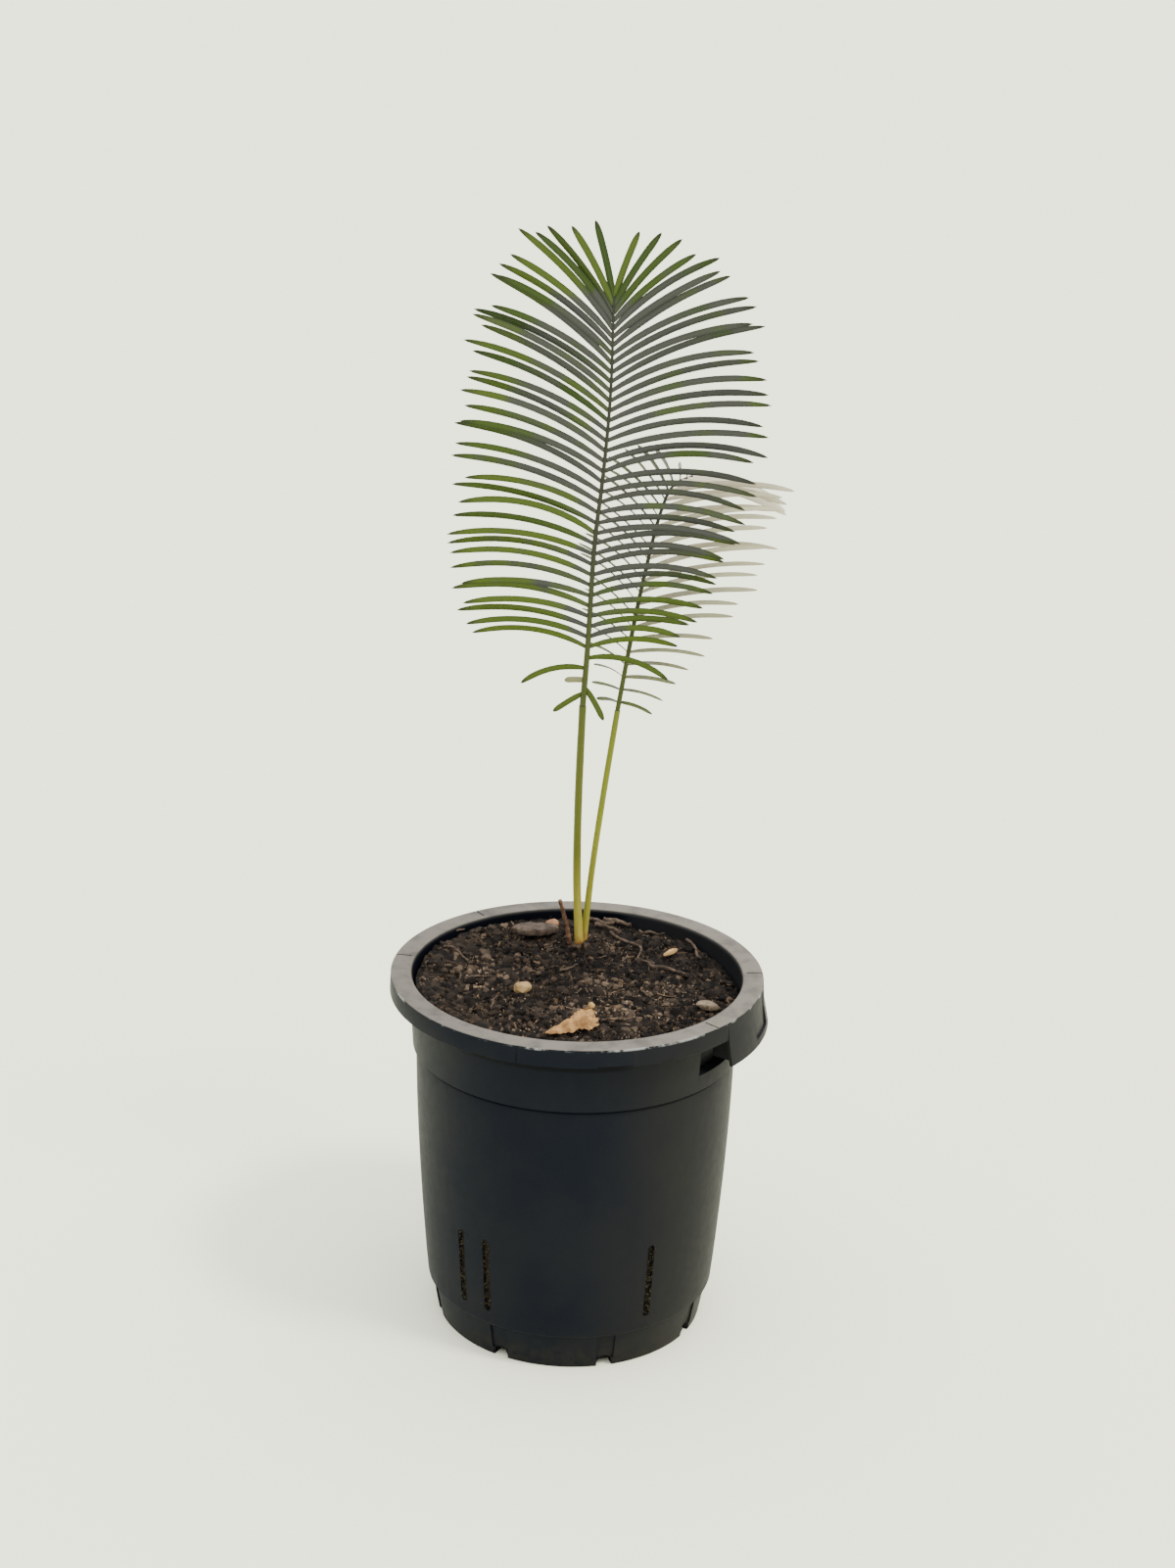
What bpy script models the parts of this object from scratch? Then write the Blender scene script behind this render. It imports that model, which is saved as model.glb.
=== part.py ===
"""A young cycad with two feathered fronds, growing in a moulded nursery pot.

Metres, +Z up. The origin is the middle of the pot's underside and -Y is the front. An azimuth is
measured about the pot's axis from +X towards +Y. Each sub-part is one closed solid in an object of
its own, and neighbours that would touch keep a seam of 0.3 mm.
"""

import math
import random
from dataclasses import dataclass

import bmesh
import bpy
from mathutils import Matrix, Quaternion, Vector

SEAM = 0.0003
UP = Vector((0.0, 0.0, 1.0))

# The pot: a thin moulding with a flat rim, a turned-down skirt, a collar, a wall and a foot band.
POT_HEIGHT = 0.249
PLASTIC = 0.0022
RIM_RADIUS = 0.125
RIM_MOUTH = 0.1114
RIM_THICKNESS = 0.0024
SKIRT_DROP = 0.0125
SKIRT_FLARE = 0.0005
COLLAR_RADIUS = 0.1125
COLLAR_DROP = 0.051
COLLAR_TAPER = 0.0025
WALL_RADIUS = 0.1076
WALL_FOOT_RADIUS = 0.0985
WALL_ROUNDING = 1.7
WALL_STATIONS = (0.172, 0.147, 0.120, 0.092, 0.062)
BAND_HEIGHT = 0.026
BAND_RADIUS = 0.096
FOOT_RADIUS = 0.0912
FOOT_CORNER = 0.0015
FLOOR_THICKNESS = 0.003
POT_STEPS = 72

# Two hand grips under the rim, where the skirt hangs deeper and stands out.
GRIP_AZIMUTHS = (math.radians(-20.5), math.radians(148.5))
GRIP_HALF_ANGLE = math.radians(17.5)
GRIP_RECESS_HALF_ANGLE = math.radians(22.5)
GRIP_DROP = 0.030
GRIP_FLARE = 0.0035
GRIP_RECESS = 0.0012
GRIP_END = 0.002
RIM_GROOVE = 0.0007

# Drain holes round the foot, and breathing slots low in the wall.
DRAIN_COUNT = 8
DRAIN_FIRST = math.radians(-119)
DRAIN_WIDTH = 0.0125
DRAIN_FLUTE = 0.001
SLOT_AZIMUTHS = tuple(math.radians(a) for a in (-134.5, -122.5, -58.5, 45.5, 57.5, 121.5))
SLOT_WIDTH = 0.005
SLOT_HEIGHTS = (0.037, 0.092)

# Potting mix, and what lies on it.
SOIL_TOP = 0.237
SOIL_STEPS = 48
SOIL_SWELL = 0.0011

# The crown: the short stem that both leaf stalks and an old stub stand on.
CROWN_PLACE = Vector((0.0010, 0.0660, SOIL_TOP))
CROWN_RADIUS = 0.0105
CROWN_TOP_RADIUS = 0.0092
CROWN_HEIGHT = 0.0045
CROWN_LEVEL_RADIUS = 0.016

# A leaflet's blade, as shares of its length and of its greatest width.
LEAFLET_STATIONS = (0.0, 0.14, 0.42, 0.76, 1.0)
LEAFLET_WIDTHS = (0.60, 0.88, 1.0, 0.84, 0.0)
LEAFLET_WIDTH = 0.0045
LEAFLET_THICKNESS = 0.0012
LIMB_SIDES_RESOLUTION = 2


@dataclass(frozen=True)
class Stalk:
    """A leaf stalk: the points its middle line runs through, and its radius at both ends."""

    name: str
    line: tuple
    foot_radius: float
    top_radius: float


@dataclass(frozen=True)
class FootLeaflet:
    """One of the odd short leaflets at a frond's foot, at a height up its midrib."""

    height: float
    side: int
    angle: float
    length: float
    curl: float


@dataclass(frozen=True)
class Frond:
    """A feather-shaped leaf blade: a midrib with a row of leaflets down each side.

    A pair of numbers is for the left row and the right row, seen from the front.
    """

    name: str
    line: tuple
    foot_radius: float
    tip_radius: float
    right: Vector
    lift: float
    twist: float
    longest: tuple
    open_angles: tuple
    opening: float
    curl: float
    droop: float
    apex_droop: float
    close_spacing: float
    wide_spacing: float
    spacing_reach: float
    apex_loss: tuple
    base_loss: tuple
    basal_zone: float
    seed: int
    bare_foot: float = 0.0
    foot_leaflets: tuple = ()


FRONT_STALK = Stalk(
    name="front_petiole",
    line=(
        (0.0004, 0.0655, 0.2420), (-0.0022, 0.0650, 0.2900),
        (-0.0026, 0.0640, 0.3500), (-0.0014, 0.0625, 0.4160),
    ),
    foot_radius=0.0029,
    top_radius=0.0025,
)
BACK_STALK = Stalk(
    name="back_petiole",
    line=(
        (0.0036, 0.0712, 0.2420), (0.0080, 0.0682, 0.2950),
        (0.0142, 0.0667, 0.3500), (0.0222, 0.0672, 0.4120),
    ),
    foot_radius=0.0023,
    top_radius=0.0020,
)
FRONT_FROND = Frond(
    name="front_frond",
    line=(
        (-0.0014, 0.0625, 0.4160), (0.0010, 0.0618, 0.4600), (0.0034, 0.0604, 0.5250),
        (0.0080, 0.0590, 0.5760), (0.0112, 0.0575, 0.6300), (0.0114, 0.0560, 0.6900),
    ),
    foot_radius=0.0022,
    tip_radius=0.0008,
    right=Vector((1.0, 0.0, 0.0)),
    lift=math.radians(9),
    twist=math.radians(12),
    longest=(0.104, 0.104),
    open_angles=(math.radians(53), math.radians(59)),
    opening=math.radians(170),
    curl=0.21,
    droop=0.05,
    apex_droop=0.0,
    close_spacing=0.0042,
    wide_spacing=0.0072,
    spacing_reach=0.050,
    apex_loss=(0.54, 0.60),
    base_loss=(0.20, 0.42),
    basal_zone=0.030,
    seed=17,
    bare_foot=0.0345,
    foot_leaflets=(
        FootLeaflet(0.0330, 1, math.radians(97), 0.058, 0.26),
        FootLeaflet(0.0260, -1, math.radians(104), 0.046, 0.24),
        FootLeaflet(0.0178, -1, math.radians(91), 0.014, 0.06),
        FootLeaflet(0.0129, 1, math.radians(145), 0.026, 0.04),
        FootLeaflet(0.0088, -1, math.radians(124), 0.024, 0.04),
    ),
)
BACK_FROND = Frond(
    name="back_frond",
    line=(
        (0.0222, 0.0672, 0.4120), (0.0312, 0.0748, 0.4686), (0.0387, 0.0826, 0.5080),
        (0.0459, 0.0903, 0.5392), (0.0536, 0.0977, 0.5580), (0.0640, 0.1055, 0.5635),
        (0.0779, 0.1180, 0.5640),
    ),
    foot_radius=0.0017,
    tip_radius=0.0007,
    right=Vector((math.cos(math.radians(31)), -math.sin(math.radians(31)), 0.0)),
    lift=math.radians(-10),
    twist=math.radians(62),
    longest=(0.070, 0.086),
    open_angles=(math.radians(62), math.radians(62)),
    opening=math.radians(30),
    curl=0.10,
    droop=0.20,
    apex_droop=0.50,
    close_spacing=0.0038,
    wide_spacing=0.0092,
    spacing_reach=0.070,
    apex_loss=(0.50, 0.45),
    base_loss=(0.15, 0.20),
    basal_zone=0.075,
    seed=22,
)

# Near the apex the leaflets close up like a fan and grow short.
APEX_ANGLE = math.radians(6)
APEX_ANGLE_REACH = 0.012
APEX_ANGLE_POWER = 0.8
APEX_LOSS_REACH = 0.020
WIDEST_ANGLE = math.radians(83)
BASE_LOSS_START = 0.100
BASE_LOSS_REACH = 0.135
APEX_CLEAR = 0.0020
BASAL_SHORTEST = 0.25
BASAL_TURN = math.radians(28)
ANGLE_SCATTER = math.radians(1.8)
LENGTH_SCATTER = 0.035
LIFT_STAGGER = math.radians(2.5)


# ---------------------------------------------------------------- scene and materials

def clear_scene():
    for old in list(bpy.data.objects):
        bpy.data.objects.remove(old, do_unlink=True)


def new_collection(name):
    collection = bpy.data.collections.new(name)
    bpy.context.scene.collection.children.link(collection)
    return collection


def plain_material(name, colour, roughness):
    material = bpy.data.materials.new(name)
    material.use_nodes = True
    shader = material.node_tree.nodes["Principled BSDF"]
    shader.inputs["Base Color"].default_value = (*colour, 1.0)
    shader.inputs["Roughness"].default_value = roughness
    shader.inputs["Metallic"].default_value = 0.0
    material.diffuse_color = (*colour, 1.0)
    return material


# ---------------------------------------------------------------- mesh helpers

def mesh_object(name, bm, collection):
    mesh = bpy.data.meshes.new(name)
    bm.to_mesh(mesh)
    bm.free()
    obj = bpy.data.objects.new(name, mesh)
    collection.objects.link(obj)
    return obj


def hide_helper(obj):
    obj.hide_render = True
    obj.display_type = "WIRE"
    return obj


def apply_modifiers(obj):
    """Makes the object's evaluated shape its own mesh."""
    bpy.context.view_layer.update()
    graph = bpy.context.evaluated_depsgraph_get()
    mesh = bpy.data.meshes.new_from_object(obj.evaluated_get(graph))
    before = obj.data
    obj.modifiers.clear()
    obj.data = mesh
    bpy.data.meshes.remove(before)


def finish_surface(obj, material, sharp_angle=math.radians(32)):
    obj.data.materials.clear()
    obj.data.materials.append(material)
    obj.data.shade_smooth()
    obj.data.set_sharp_from_angle(angle=sharp_angle)


def turned(name, profile, steps, collection):
    """A solid turned about Z from (radius, height) points that start and end on the axis."""
    bm = bmesh.new()
    points = [bm.verts.new((radius, 0.0, height)) for radius, height in profile]
    for first, second in zip(points, points[1:]):
        bm.edges.new((first, second))
    obj = mesh_object(name, bm, collection)
    screw = obj.modifiers.new("Turn", "SCREW")
    screw.steps = steps
    screw.render_steps = steps
    screw.use_merge_vertices = True
    screw.merge_threshold = 0.00001
    return obj


def sector(name, profile, centre, half_angle, steps, collection):
    """A closed outline of (radius, height) points swept through an angle about Z."""
    bm = bmesh.new()
    bm.faces.new([bm.verts.new((radius, 0.0, height)) for radius, height in profile])
    start = Matrix.Rotation(centre - half_angle, 3, "Z")
    bmesh.ops.rotate(bm, verts=bm.verts, cent=(0, 0, 0), matrix=start)
    outline = list(bm.verts) + list(bm.edges) + list(bm.faces)
    bmesh.ops.spin(
        bm, geom=outline, cent=(0, 0, 0), axis=UP, angle=2 * half_angle, steps=steps,
        use_duplicate=False,
    )
    bmesh.ops.recalc_face_normals(bm, faces=bm.faces)
    return hide_helper(mesh_object(name, bm, collection))


def radial_box(name, azimuth, radii, width, heights, collection):
    """A box that points out from the pot's axis."""
    bm = bmesh.new()
    bmesh.ops.create_cube(bm, size=1.0)
    size = (radii[1] - radii[0], width, heights[1] - heights[0])
    middle = ((radii[0] + radii[1]) / 2, 0.0, (heights[0] + heights[1]) / 2)
    bmesh.ops.scale(bm, vec=size, verts=bm.verts)
    bmesh.ops.translate(bm, vec=middle, verts=bm.verts)
    bmesh.ops.rotate(bm, cent=(0, 0, 0), matrix=Matrix.Rotation(azimuth, 3, "Z"), verts=bm.verts)
    return hide_helper(mesh_object(name, bm, collection))


def radial_drill(name, azimuth, radii, diameter, height, collection):
    """A round cutter that points out from the pot's axis at a height."""
    bm = bmesh.new()
    bmesh.ops.create_cone(
        bm, cap_ends=True, segments=20, radius1=diameter / 2, radius2=diameter / 2,
        depth=radii[1] - radii[0],
    )
    bmesh.ops.rotate(bm, cent=(0, 0, 0), matrix=Matrix.Rotation(math.pi / 2, 3, "Y"), verts=bm.verts)
    bmesh.ops.translate(bm, vec=((radii[0] + radii[1]) / 2, 0.0, height), verts=bm.verts)
    bmesh.ops.rotate(bm, cent=(0, 0, 0), matrix=Matrix.Rotation(azimuth, 3, "Z"), verts=bm.verts)
    return hide_helper(mesh_object(name, bm, collection))


def boolean(obj, operation, collection):
    modifier = obj.modifiers.new(operation.title(), "BOOLEAN")
    modifier.operation = operation
    modifier.operand_type = "COLLECTION"
    modifier.collection = collection
    return modifier


def smooth_line(points, count):
    """Evenly numbered points on a Catmull-Rom curve through the given points."""
    given = [Vector(p) for p in points]
    ends = [2 * given[0] - given[1], *given, 2 * given[-1] - given[-2]]
    spans = len(given) - 1
    line = []
    for index in range(count):
        place = index * spans / (count - 1)
        span = min(int(place), spans - 1)
        t = place - span
        a, b, c, d = ends[span:span + 4]
        line.append(
            0.5 * (2 * b + (c - a) * t + (2 * a - 5 * b + 4 * c - d) * t ** 2
                   + (3 * b - a - 3 * c + d) * t ** 3)
        )
    return line


def limb(name, line, foot_radius, tip_radius, collection):
    """A tapering round limb along a line, closed at both ends."""
    curve = bpy.data.curves.new(name, "CURVE")
    curve.dimensions = "3D"
    curve.bevel_depth = foot_radius
    curve.bevel_resolution = LIMB_SIDES_RESOLUTION
    curve.use_fill_caps = True
    spline = curve.splines.new("POLY")
    spline.points.add(len(line) - 1)
    for index, (point, place) in enumerate(zip(spline.points, line)):
        share = index / (len(line) - 1)
        point.co = (*place, 1.0)
        point.radius = 1 + (tip_radius / foot_radius - 1) * share
    tube = bpy.data.objects.new(name, curve)
    collection.objects.link(tube)
    bpy.context.view_layer.update()
    graph = bpy.context.evaluated_depsgraph_get()
    mesh = bpy.data.meshes.new_from_object(tube.evaluated_get(graph))
    bpy.data.objects.remove(tube)
    bm = bmesh.new()
    bm.from_mesh(mesh)
    bpy.data.meshes.remove(mesh)
    bmesh.ops.remove_doubles(bm, verts=bm.verts, dist=0.00001)
    bmesh.ops.recalc_face_normals(bm, faces=bm.faces)
    return mesh_object(name, bm, collection)


# ---------------------------------------------------------------- pot

def wall_radius(height):
    """Outer radius of the wall between the foot band and the collar."""
    top = POT_HEIGHT - COLLAR_DROP - 0.001
    share = (height - BAND_HEIGHT) / (top - BAND_HEIGHT)
    return WALL_RADIUS - (WALL_RADIUS - WALL_FOOT_RADIUS) * (1 - share) ** WALL_ROUNDING


def pot_profile():
    """(radius, height) points: up the inside, over the rim, down the skirt and the outside."""
    collar_foot = POT_HEIGHT - COLLAR_DROP
    collar_foot_radius = COLLAR_RADIUS - COLLAR_TAPER
    flange = POT_HEIGHT - RIM_THICKNESS
    wall = [(wall_radius(height), height) for height in WALL_STATIONS]
    inside = [
        (0.0, FLOOR_THICKNESS),
        (FOOT_RADIUS - PLASTIC, FLOOR_THICKNESS),
        (BAND_RADIUS - PLASTIC, BAND_HEIGHT + 0.001),
        (WALL_FOOT_RADIUS - PLASTIC, BAND_HEIGHT + 0.002),
        *[(radius - PLASTIC, height) for radius, height in reversed(wall)],
        (WALL_RADIUS - PLASTIC, collar_foot),
        (collar_foot_radius - PLASTIC, collar_foot + 0.002),
        (COLLAR_RADIUS - PLASTIC, flange),
        (RIM_MOUTH, POT_HEIGHT - 0.0005),
    ]
    rim = [
        (RIM_MOUTH + 0.0006, POT_HEIGHT),
        (RIM_RADIUS - 0.0006, POT_HEIGHT),
        (RIM_RADIUS, POT_HEIGHT - 0.0006),
        (RIM_RADIUS + SKIRT_FLARE, POT_HEIGHT - SKIRT_DROP),
        (RIM_RADIUS + SKIRT_FLARE - 0.0018, POT_HEIGHT - SKIRT_DROP),
        (RIM_RADIUS - 0.0020, flange),
        (COLLAR_RADIUS, flange),
    ]
    outside = [
        (collar_foot_radius, collar_foot),
        (WALL_RADIUS, collar_foot - 0.001),
        *wall,
        (WALL_FOOT_RADIUS, BAND_HEIGHT + 0.001),
        (BAND_RADIUS, BAND_HEIGHT),
        (FOOT_RADIUS + 0.0004, FOOT_CORNER),
        (FOOT_RADIUS - FOOT_CORNER, 0.0),
        (0.0, 0.0),
    ]
    return inside + rim + outside


def grip_flap(centre, number, collection):
    """The deep, flared skirt of one grip with a cheek at each end, joined to the rim above."""
    top = POT_HEIGHT - 0.0012
    bottom = POT_HEIGHT - GRIP_DROP
    skirt_foot = POT_HEIGHT - SKIRT_DROP
    outer = RIM_RADIUS + SKIRT_FLARE + 0.0004
    flap = [
        (outer - 0.0008, top),
        (outer, skirt_foot),
        (outer + GRIP_FLARE, bottom),
        (outer + GRIP_FLARE - 0.0022, bottom),
        (outer - 0.0026, skirt_foot),
        (outer - 0.0030, top),
    ]
    sector(f"grip_{number}_flap", flap, centre, GRIP_HALF_ANGLE, 10, collection)
    cheek_angle = GRIP_HALF_ANGLE - GRIP_END / RIM_RADIUS / 2
    for side in (-1, 1):
        cheek = [
            (COLLAR_RADIUS - 0.0016, top),
            (COLLAR_RADIUS - 0.0026, bottom + 0.0005),
            (outer + GRIP_FLARE - 0.0012, bottom + 0.0005),
            (outer - 0.0010, skirt_foot),
            (outer - 0.0016, top),
        ]
        sector(
            f"grip_{number}_cheek_{side + 2}", cheek, centre + side * cheek_angle,
            GRIP_END / RIM_RADIUS / 2, 1, collection,
        )


def grip_recess(centre, number, collection):
    """A shallow finger recess in the collar behind one grip."""
    bottom = POT_HEIGHT - GRIP_DROP - 0.0005
    top = POT_HEIGHT - RIM_THICKNESS - 0.0008
    slope = COLLAR_TAPER / COLLAR_DROP
    foot = COLLAR_RADIUS - slope * GRIP_DROP
    outline = [
        (foot - GRIP_RECESS, bottom),
        (foot + 0.001, bottom),
        (COLLAR_RADIUS + 0.001, top),
        (COLLAR_RADIUS - GRIP_RECESS, top),
    ]
    sector(f"grip_{number}_recess", outline, centre, GRIP_RECESS_HALF_ANGLE, 14, collection)


def foot_cutters(collection):
    """Drain holes with a shallow flute above each, and the breathing slots."""
    slope = (BAND_RADIUS - FOOT_RADIUS) / (BAND_HEIGHT - FOOT_CORNER)
    low, high = 0.006, BAND_HEIGHT - 0.0015
    low_radius = FOOT_RADIUS + slope * (low - FOOT_CORNER)
    high_radius = FOOT_RADIUS + slope * (high - FOOT_CORNER)
    flute = [
        (low_radius - DRAIN_FLUTE, low), (low_radius + 0.003, low),
        (high_radius + 0.003, high), (high_radius - DRAIN_FLUTE, high),
    ]
    half_angle = DRAIN_WIDTH / BAND_RADIUS / 2
    for number in range(DRAIN_COUNT):
        azimuth = DRAIN_FIRST + number * math.tau / DRAIN_COUNT
        sector(f"drain_{number}_flute", flute, azimuth, half_angle, 3, collection)
        radial_drill(
            f"drain_{number}_hole", azimuth, (0.080, 0.100), DRAIN_WIDTH * 0.9, 0.0022, collection
        )
    for number, azimuth in enumerate(SLOT_AZIMUTHS):
        radial_box(
            f"slot_{number}", azimuth, (0.090, 0.110), SLOT_WIDTH, SLOT_HEIGHTS, collection
        )


def rim_grooves(collection):
    """A fine radial groove across the rim at both ends of each grip."""
    for number, centre in enumerate(GRIP_AZIMUTHS):
        for side in (-1, 1):
            radial_box(
                f"rim_groove_{number}_{side + 2}", centre + side * GRIP_RECESS_HALF_ANGLE,
                (RIM_MOUTH + 0.0025, RIM_RADIUS + 0.002), 0.0012,
                (POT_HEIGHT - RIM_GROOVE, POT_HEIGHT + 0.001), collection,
            )


def build_pot(parts, helpers):
    recesses = new_collection("grip recesses")
    flaps = new_collection("grip flaps")
    for number, centre in enumerate(GRIP_AZIMUTHS):
        grip_recess(centre, number, recesses)
        grip_flap(centre, number, flaps)
    foot_cutters(helpers)
    rim_grooves(helpers)
    pot = turned("pot", pot_profile(), POT_STEPS, parts)
    boolean(pot, "DIFFERENCE", recesses)
    boolean(pot, "UNION", flaps)
    boolean(pot, "DIFFERENCE", helpers)
    apply_modifiers(pot)
    finish_surface(pot, plain_material("black plastic", (0.022, 0.025, 0.030), 0.42))
    return pot


# ---------------------------------------------------------------- soil

def soil_height(x, y):
    """Height of the potting mix: long low swells, level under the crown."""
    swell = (
        math.sin(83 * x + 0.7) * math.cos(71 * y - 0.4)
        + 0.6 * math.sin(131 * y + 47 * x + 1.9)
    )
    from_crown = math.hypot(x - CROWN_PLACE.x, y - CROWN_PLACE.y)
    level = min(1.0, max(0.0, (from_crown - CROWN_LEVEL_RADIUS) / CROWN_LEVEL_RADIUS))
    return SOIL_TOP + SOIL_SWELL * swell * level


def build_soil(parts):
    """The filling of the pot, clear of its floor and wall by a little more than the seam."""
    clear = PLASTIC + 0.0007
    collar_foot = POT_HEIGHT - COLLAR_DROP
    rings = [0.094, 0.080, 0.068, 0.056, 0.044, 0.032, 0.020, 0.010]
    profile = [
        (0.0, SOIL_TOP),
        *[(radius, SOIL_TOP) for radius in reversed(rings)],
        (COLLAR_RADIUS - clear - 0.0008, SOIL_TOP),
        (COLLAR_RADIUS - COLLAR_TAPER - clear, collar_foot + 0.0025),
        (WALL_RADIUS - clear, collar_foot),
        *[(wall_radius(height) - clear, height) for height in WALL_STATIONS],
        (WALL_FOOT_RADIUS - clear, BAND_HEIGHT + 0.003),
        (BAND_RADIUS - clear, BAND_HEIGHT + 0.0015),
        (FOOT_RADIUS - clear - 0.0006, FLOOR_THICKNESS + SEAM),
        (0.0, FLOOR_THICKNESS + SEAM),
    ]
    soil = turned("soil", profile, SOIL_STEPS, parts)
    apply_modifiers(soil)
    for vertex in soil.data.vertices:
        if vertex.co.z > SOIL_TOP - 0.001:
            vertex.co.z = soil_height(vertex.co.x, vertex.co.y)
    finish_surface(soil, plain_material("potting mix", (0.035, 0.026, 0.020), 0.95))
    return soil


def resting_height(place, footprint, turn):
    """The lowest level at which a piece with this footprint lies on the soil, a seam above it."""
    heights = []
    for along in (-0.5, -0.25, 0.0, 0.25, 0.5):
        for across in (-0.4, 0.0, 0.4):
            offset = Vector((along * footprint[0], across * footprint[1], 0.0))
            offset.rotate(Quaternion(UP, turn))
            heights.append(soil_height(place[0] + offset.x, place[1] + offset.y))
    return max(heights) + SEAM


# ---------------------------------------------------------------- crown, stalks and fronds

def build_crown(parts):
    """A low round stem with a level top."""
    profile = [
        (0.0, CROWN_HEIGHT), (CROWN_TOP_RADIUS, CROWN_HEIGHT),
        (CROWN_RADIUS, CROWN_HEIGHT * 0.45), (CROWN_RADIUS * 0.96, SEAM), (0.0, SEAM),
    ]
    crown = turned("crown", profile, 24, parts)
    crown.location = CROWN_PLACE
    apply_modifiers(crown)
    finish_surface(crown, plain_material("crown", (0.10, 0.060, 0.032), 0.9))
    return crown


def build_stalk(stalk, parts, material):
    line = smooth_line(stalk.line, 13)
    line[0].z = SOIL_TOP + CROWN_HEIGHT + 1.5 * SEAM
    direction = (line[-1] - line[-2]).normalized()
    line[-1] = line[-1] - direction * 2 * SEAM
    obj = limb(stalk.name, line, stalk.foot_radius, stalk.top_radius, parts)
    finish_surface(obj, material)
    return obj


def distances_from_apex(frond, length):
    """Where the leaflet pairs leave the midrib, closer together towards the apex."""
    distance = APEX_CLEAR
    places = []
    while distance < length - max(2 * frond.foot_radius, frond.bare_foot):
        places.append(distance)
        opened = 1 - math.exp(-distance / frond.spacing_reach)
        distance += frond.close_spacing + (frond.wide_spacing - frond.close_spacing) * opened
    return places


def leaflet_angle(frond, distance, length, row):
    """Angle from the midrib to the leaflet's chord."""
    open_angle = frond.open_angles[row]
    closing = math.exp(-(distance / APEX_ANGLE_REACH) ** APEX_ANGLE_POWER)
    opened = min(WIDEST_ANGLE, open_angle + frond.opening * distance)
    basal = max(0.0, 1 - (length - distance) / frond.basal_zone)
    return opened - (open_angle - APEX_ANGLE) * closing + BASAL_TURN * basal ** 2


def leaflet_length(frond, distance, length, row):
    apex = 1 - frond.apex_loss[row] * math.exp(-distance / APEX_LOSS_REACH)
    from_start = max(0.0, (distance - BASE_LOSS_START) / BASE_LOSS_REACH)
    base = 1 - frond.base_loss[row] * from_start ** 2
    basal_share = min(1.0, (length - distance) / frond.basal_zone)
    basal = BASAL_SHORTEST + (1 - BASAL_SHORTEST) * basal_share
    return frond.longest[row] * apex * base * basal


def leaflet(name, root, along, across, angle, length, curl, droop, twist, collection):
    """A thin pointed blade with a four-sided section, bowed outwards and a little down."""
    bm = bmesh.new()
    place = root.copy()
    rings = []
    before = 0.0
    for station, width_share in zip(LEAFLET_STATIONS, LEAFLET_WIDTHS):
        middle = (station + before) / 2
        turn = angle * (1 - curl + 2 * curl * middle)
        heading = math.cos(turn) * along + math.sin(turn) * across - droop * middle * UP
        heading.normalize()
        place = place + heading * length * (station - before)
        before = station
        if width_share == 0.0:
            rings.append([bm.verts.new(place)])
            continue
        broad = (along - along.dot(heading) * heading).normalized()
        broad.rotate(Quaternion(heading, twist))
        normal = heading.cross(broad)
        half_width = LEAFLET_WIDTH * width_share / 2
        half_thick = LEAFLET_THICKNESS / 2
        corners = (broad * half_width, normal * half_thick, -broad * half_width, -normal * half_thick)
        rings.append([bm.verts.new(place + corner) for corner in corners])
    bm.faces.new(rings[0])
    for low, high in zip(rings, rings[1:]):
        for index in range(4):
            following = (index + 1) % 4
            if len(high) == 1:
                bm.faces.new((low[index], low[following], high[0]))
            else:
                bm.faces.new((low[index], low[following], high[following], high[index]))
    bmesh.ops.recalc_face_normals(bm, faces=bm.faces)
    return hide_helper(mesh_object(name, bm, collection))


def place_on_line(line, distance):
    """The point and heading at a distance back from the line's end."""
    for index in range(len(line) - 1, 0, -1):
        step = line[index] - line[index - 1]
        if distance <= step.length or index == 1:
            return line[index] - step.normalized() * distance, step.normalized()
        distance -= step.length


def midrib_frame(frond, line, distance):
    """A place on the midrib with its heading, its right-hand side and its facing side."""
    root, along = place_on_line(line, distance)
    facing = frond.right.cross(along).normalized()
    return root, along, along.cross(facing), facing


def build_frond(frond, parts, material):
    draw = random.Random(frond.seed)
    line = smooth_line(frond.line, 25)
    rib = limb(frond.name, line, frond.foot_radius, frond.tip_radius, parts)
    length = sum((b - a).length for a, b in zip(line, line[1:]))
    blades = new_collection(f"{frond.name} leaflets")
    for number, distance in enumerate(distances_from_apex(frond, length)):
        root, along, right, facing = midrib_frame(frond, line, distance)
        droop = frond.droop + frond.apex_droop * math.exp(-distance / APEX_LOSS_REACH)
        lift = frond.lift + (LIFT_STAGGER if number % 2 else -LIFT_STAGGER)
        for row, side in enumerate((-1, 1)):
            across = side * math.cos(lift) * right + math.sin(lift) * facing
            angle = leaflet_angle(frond, distance, length, row)
            angle += draw.gauss(0.0, ANGLE_SCATTER)
            reach = leaflet_length(frond, distance, length, row)
            reach *= 1 + draw.gauss(0.0, LENGTH_SCATTER)
            leaflet(
                f"{frond.name}_{number}_{row}", root, along, across, angle, reach, frond.curl,
                droop, side * frond.twist, blades,
            )
    for number, odd in enumerate(frond.foot_leaflets):
        root, along, right, facing = midrib_frame(frond, line, length - odd.height)
        across = odd.side * math.cos(frond.lift) * right + math.sin(frond.lift) * facing
        leaflet(
            f"{frond.name}_foot_{number}", root, along, across, odd.angle, odd.length, odd.curl,
            frond.droop, odd.side * frond.twist, blades,
        )
    union = boolean(rib, "UNION", blades)
    union.solver = "MANIFOLD"
    apply_modifiers(rib)
    for blade in list(blades.objects):
        bpy.data.objects.remove(blade, do_unlink=True)
    bpy.data.collections.remove(blades)
    finish_surface(rib, material)
    return rib


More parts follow.
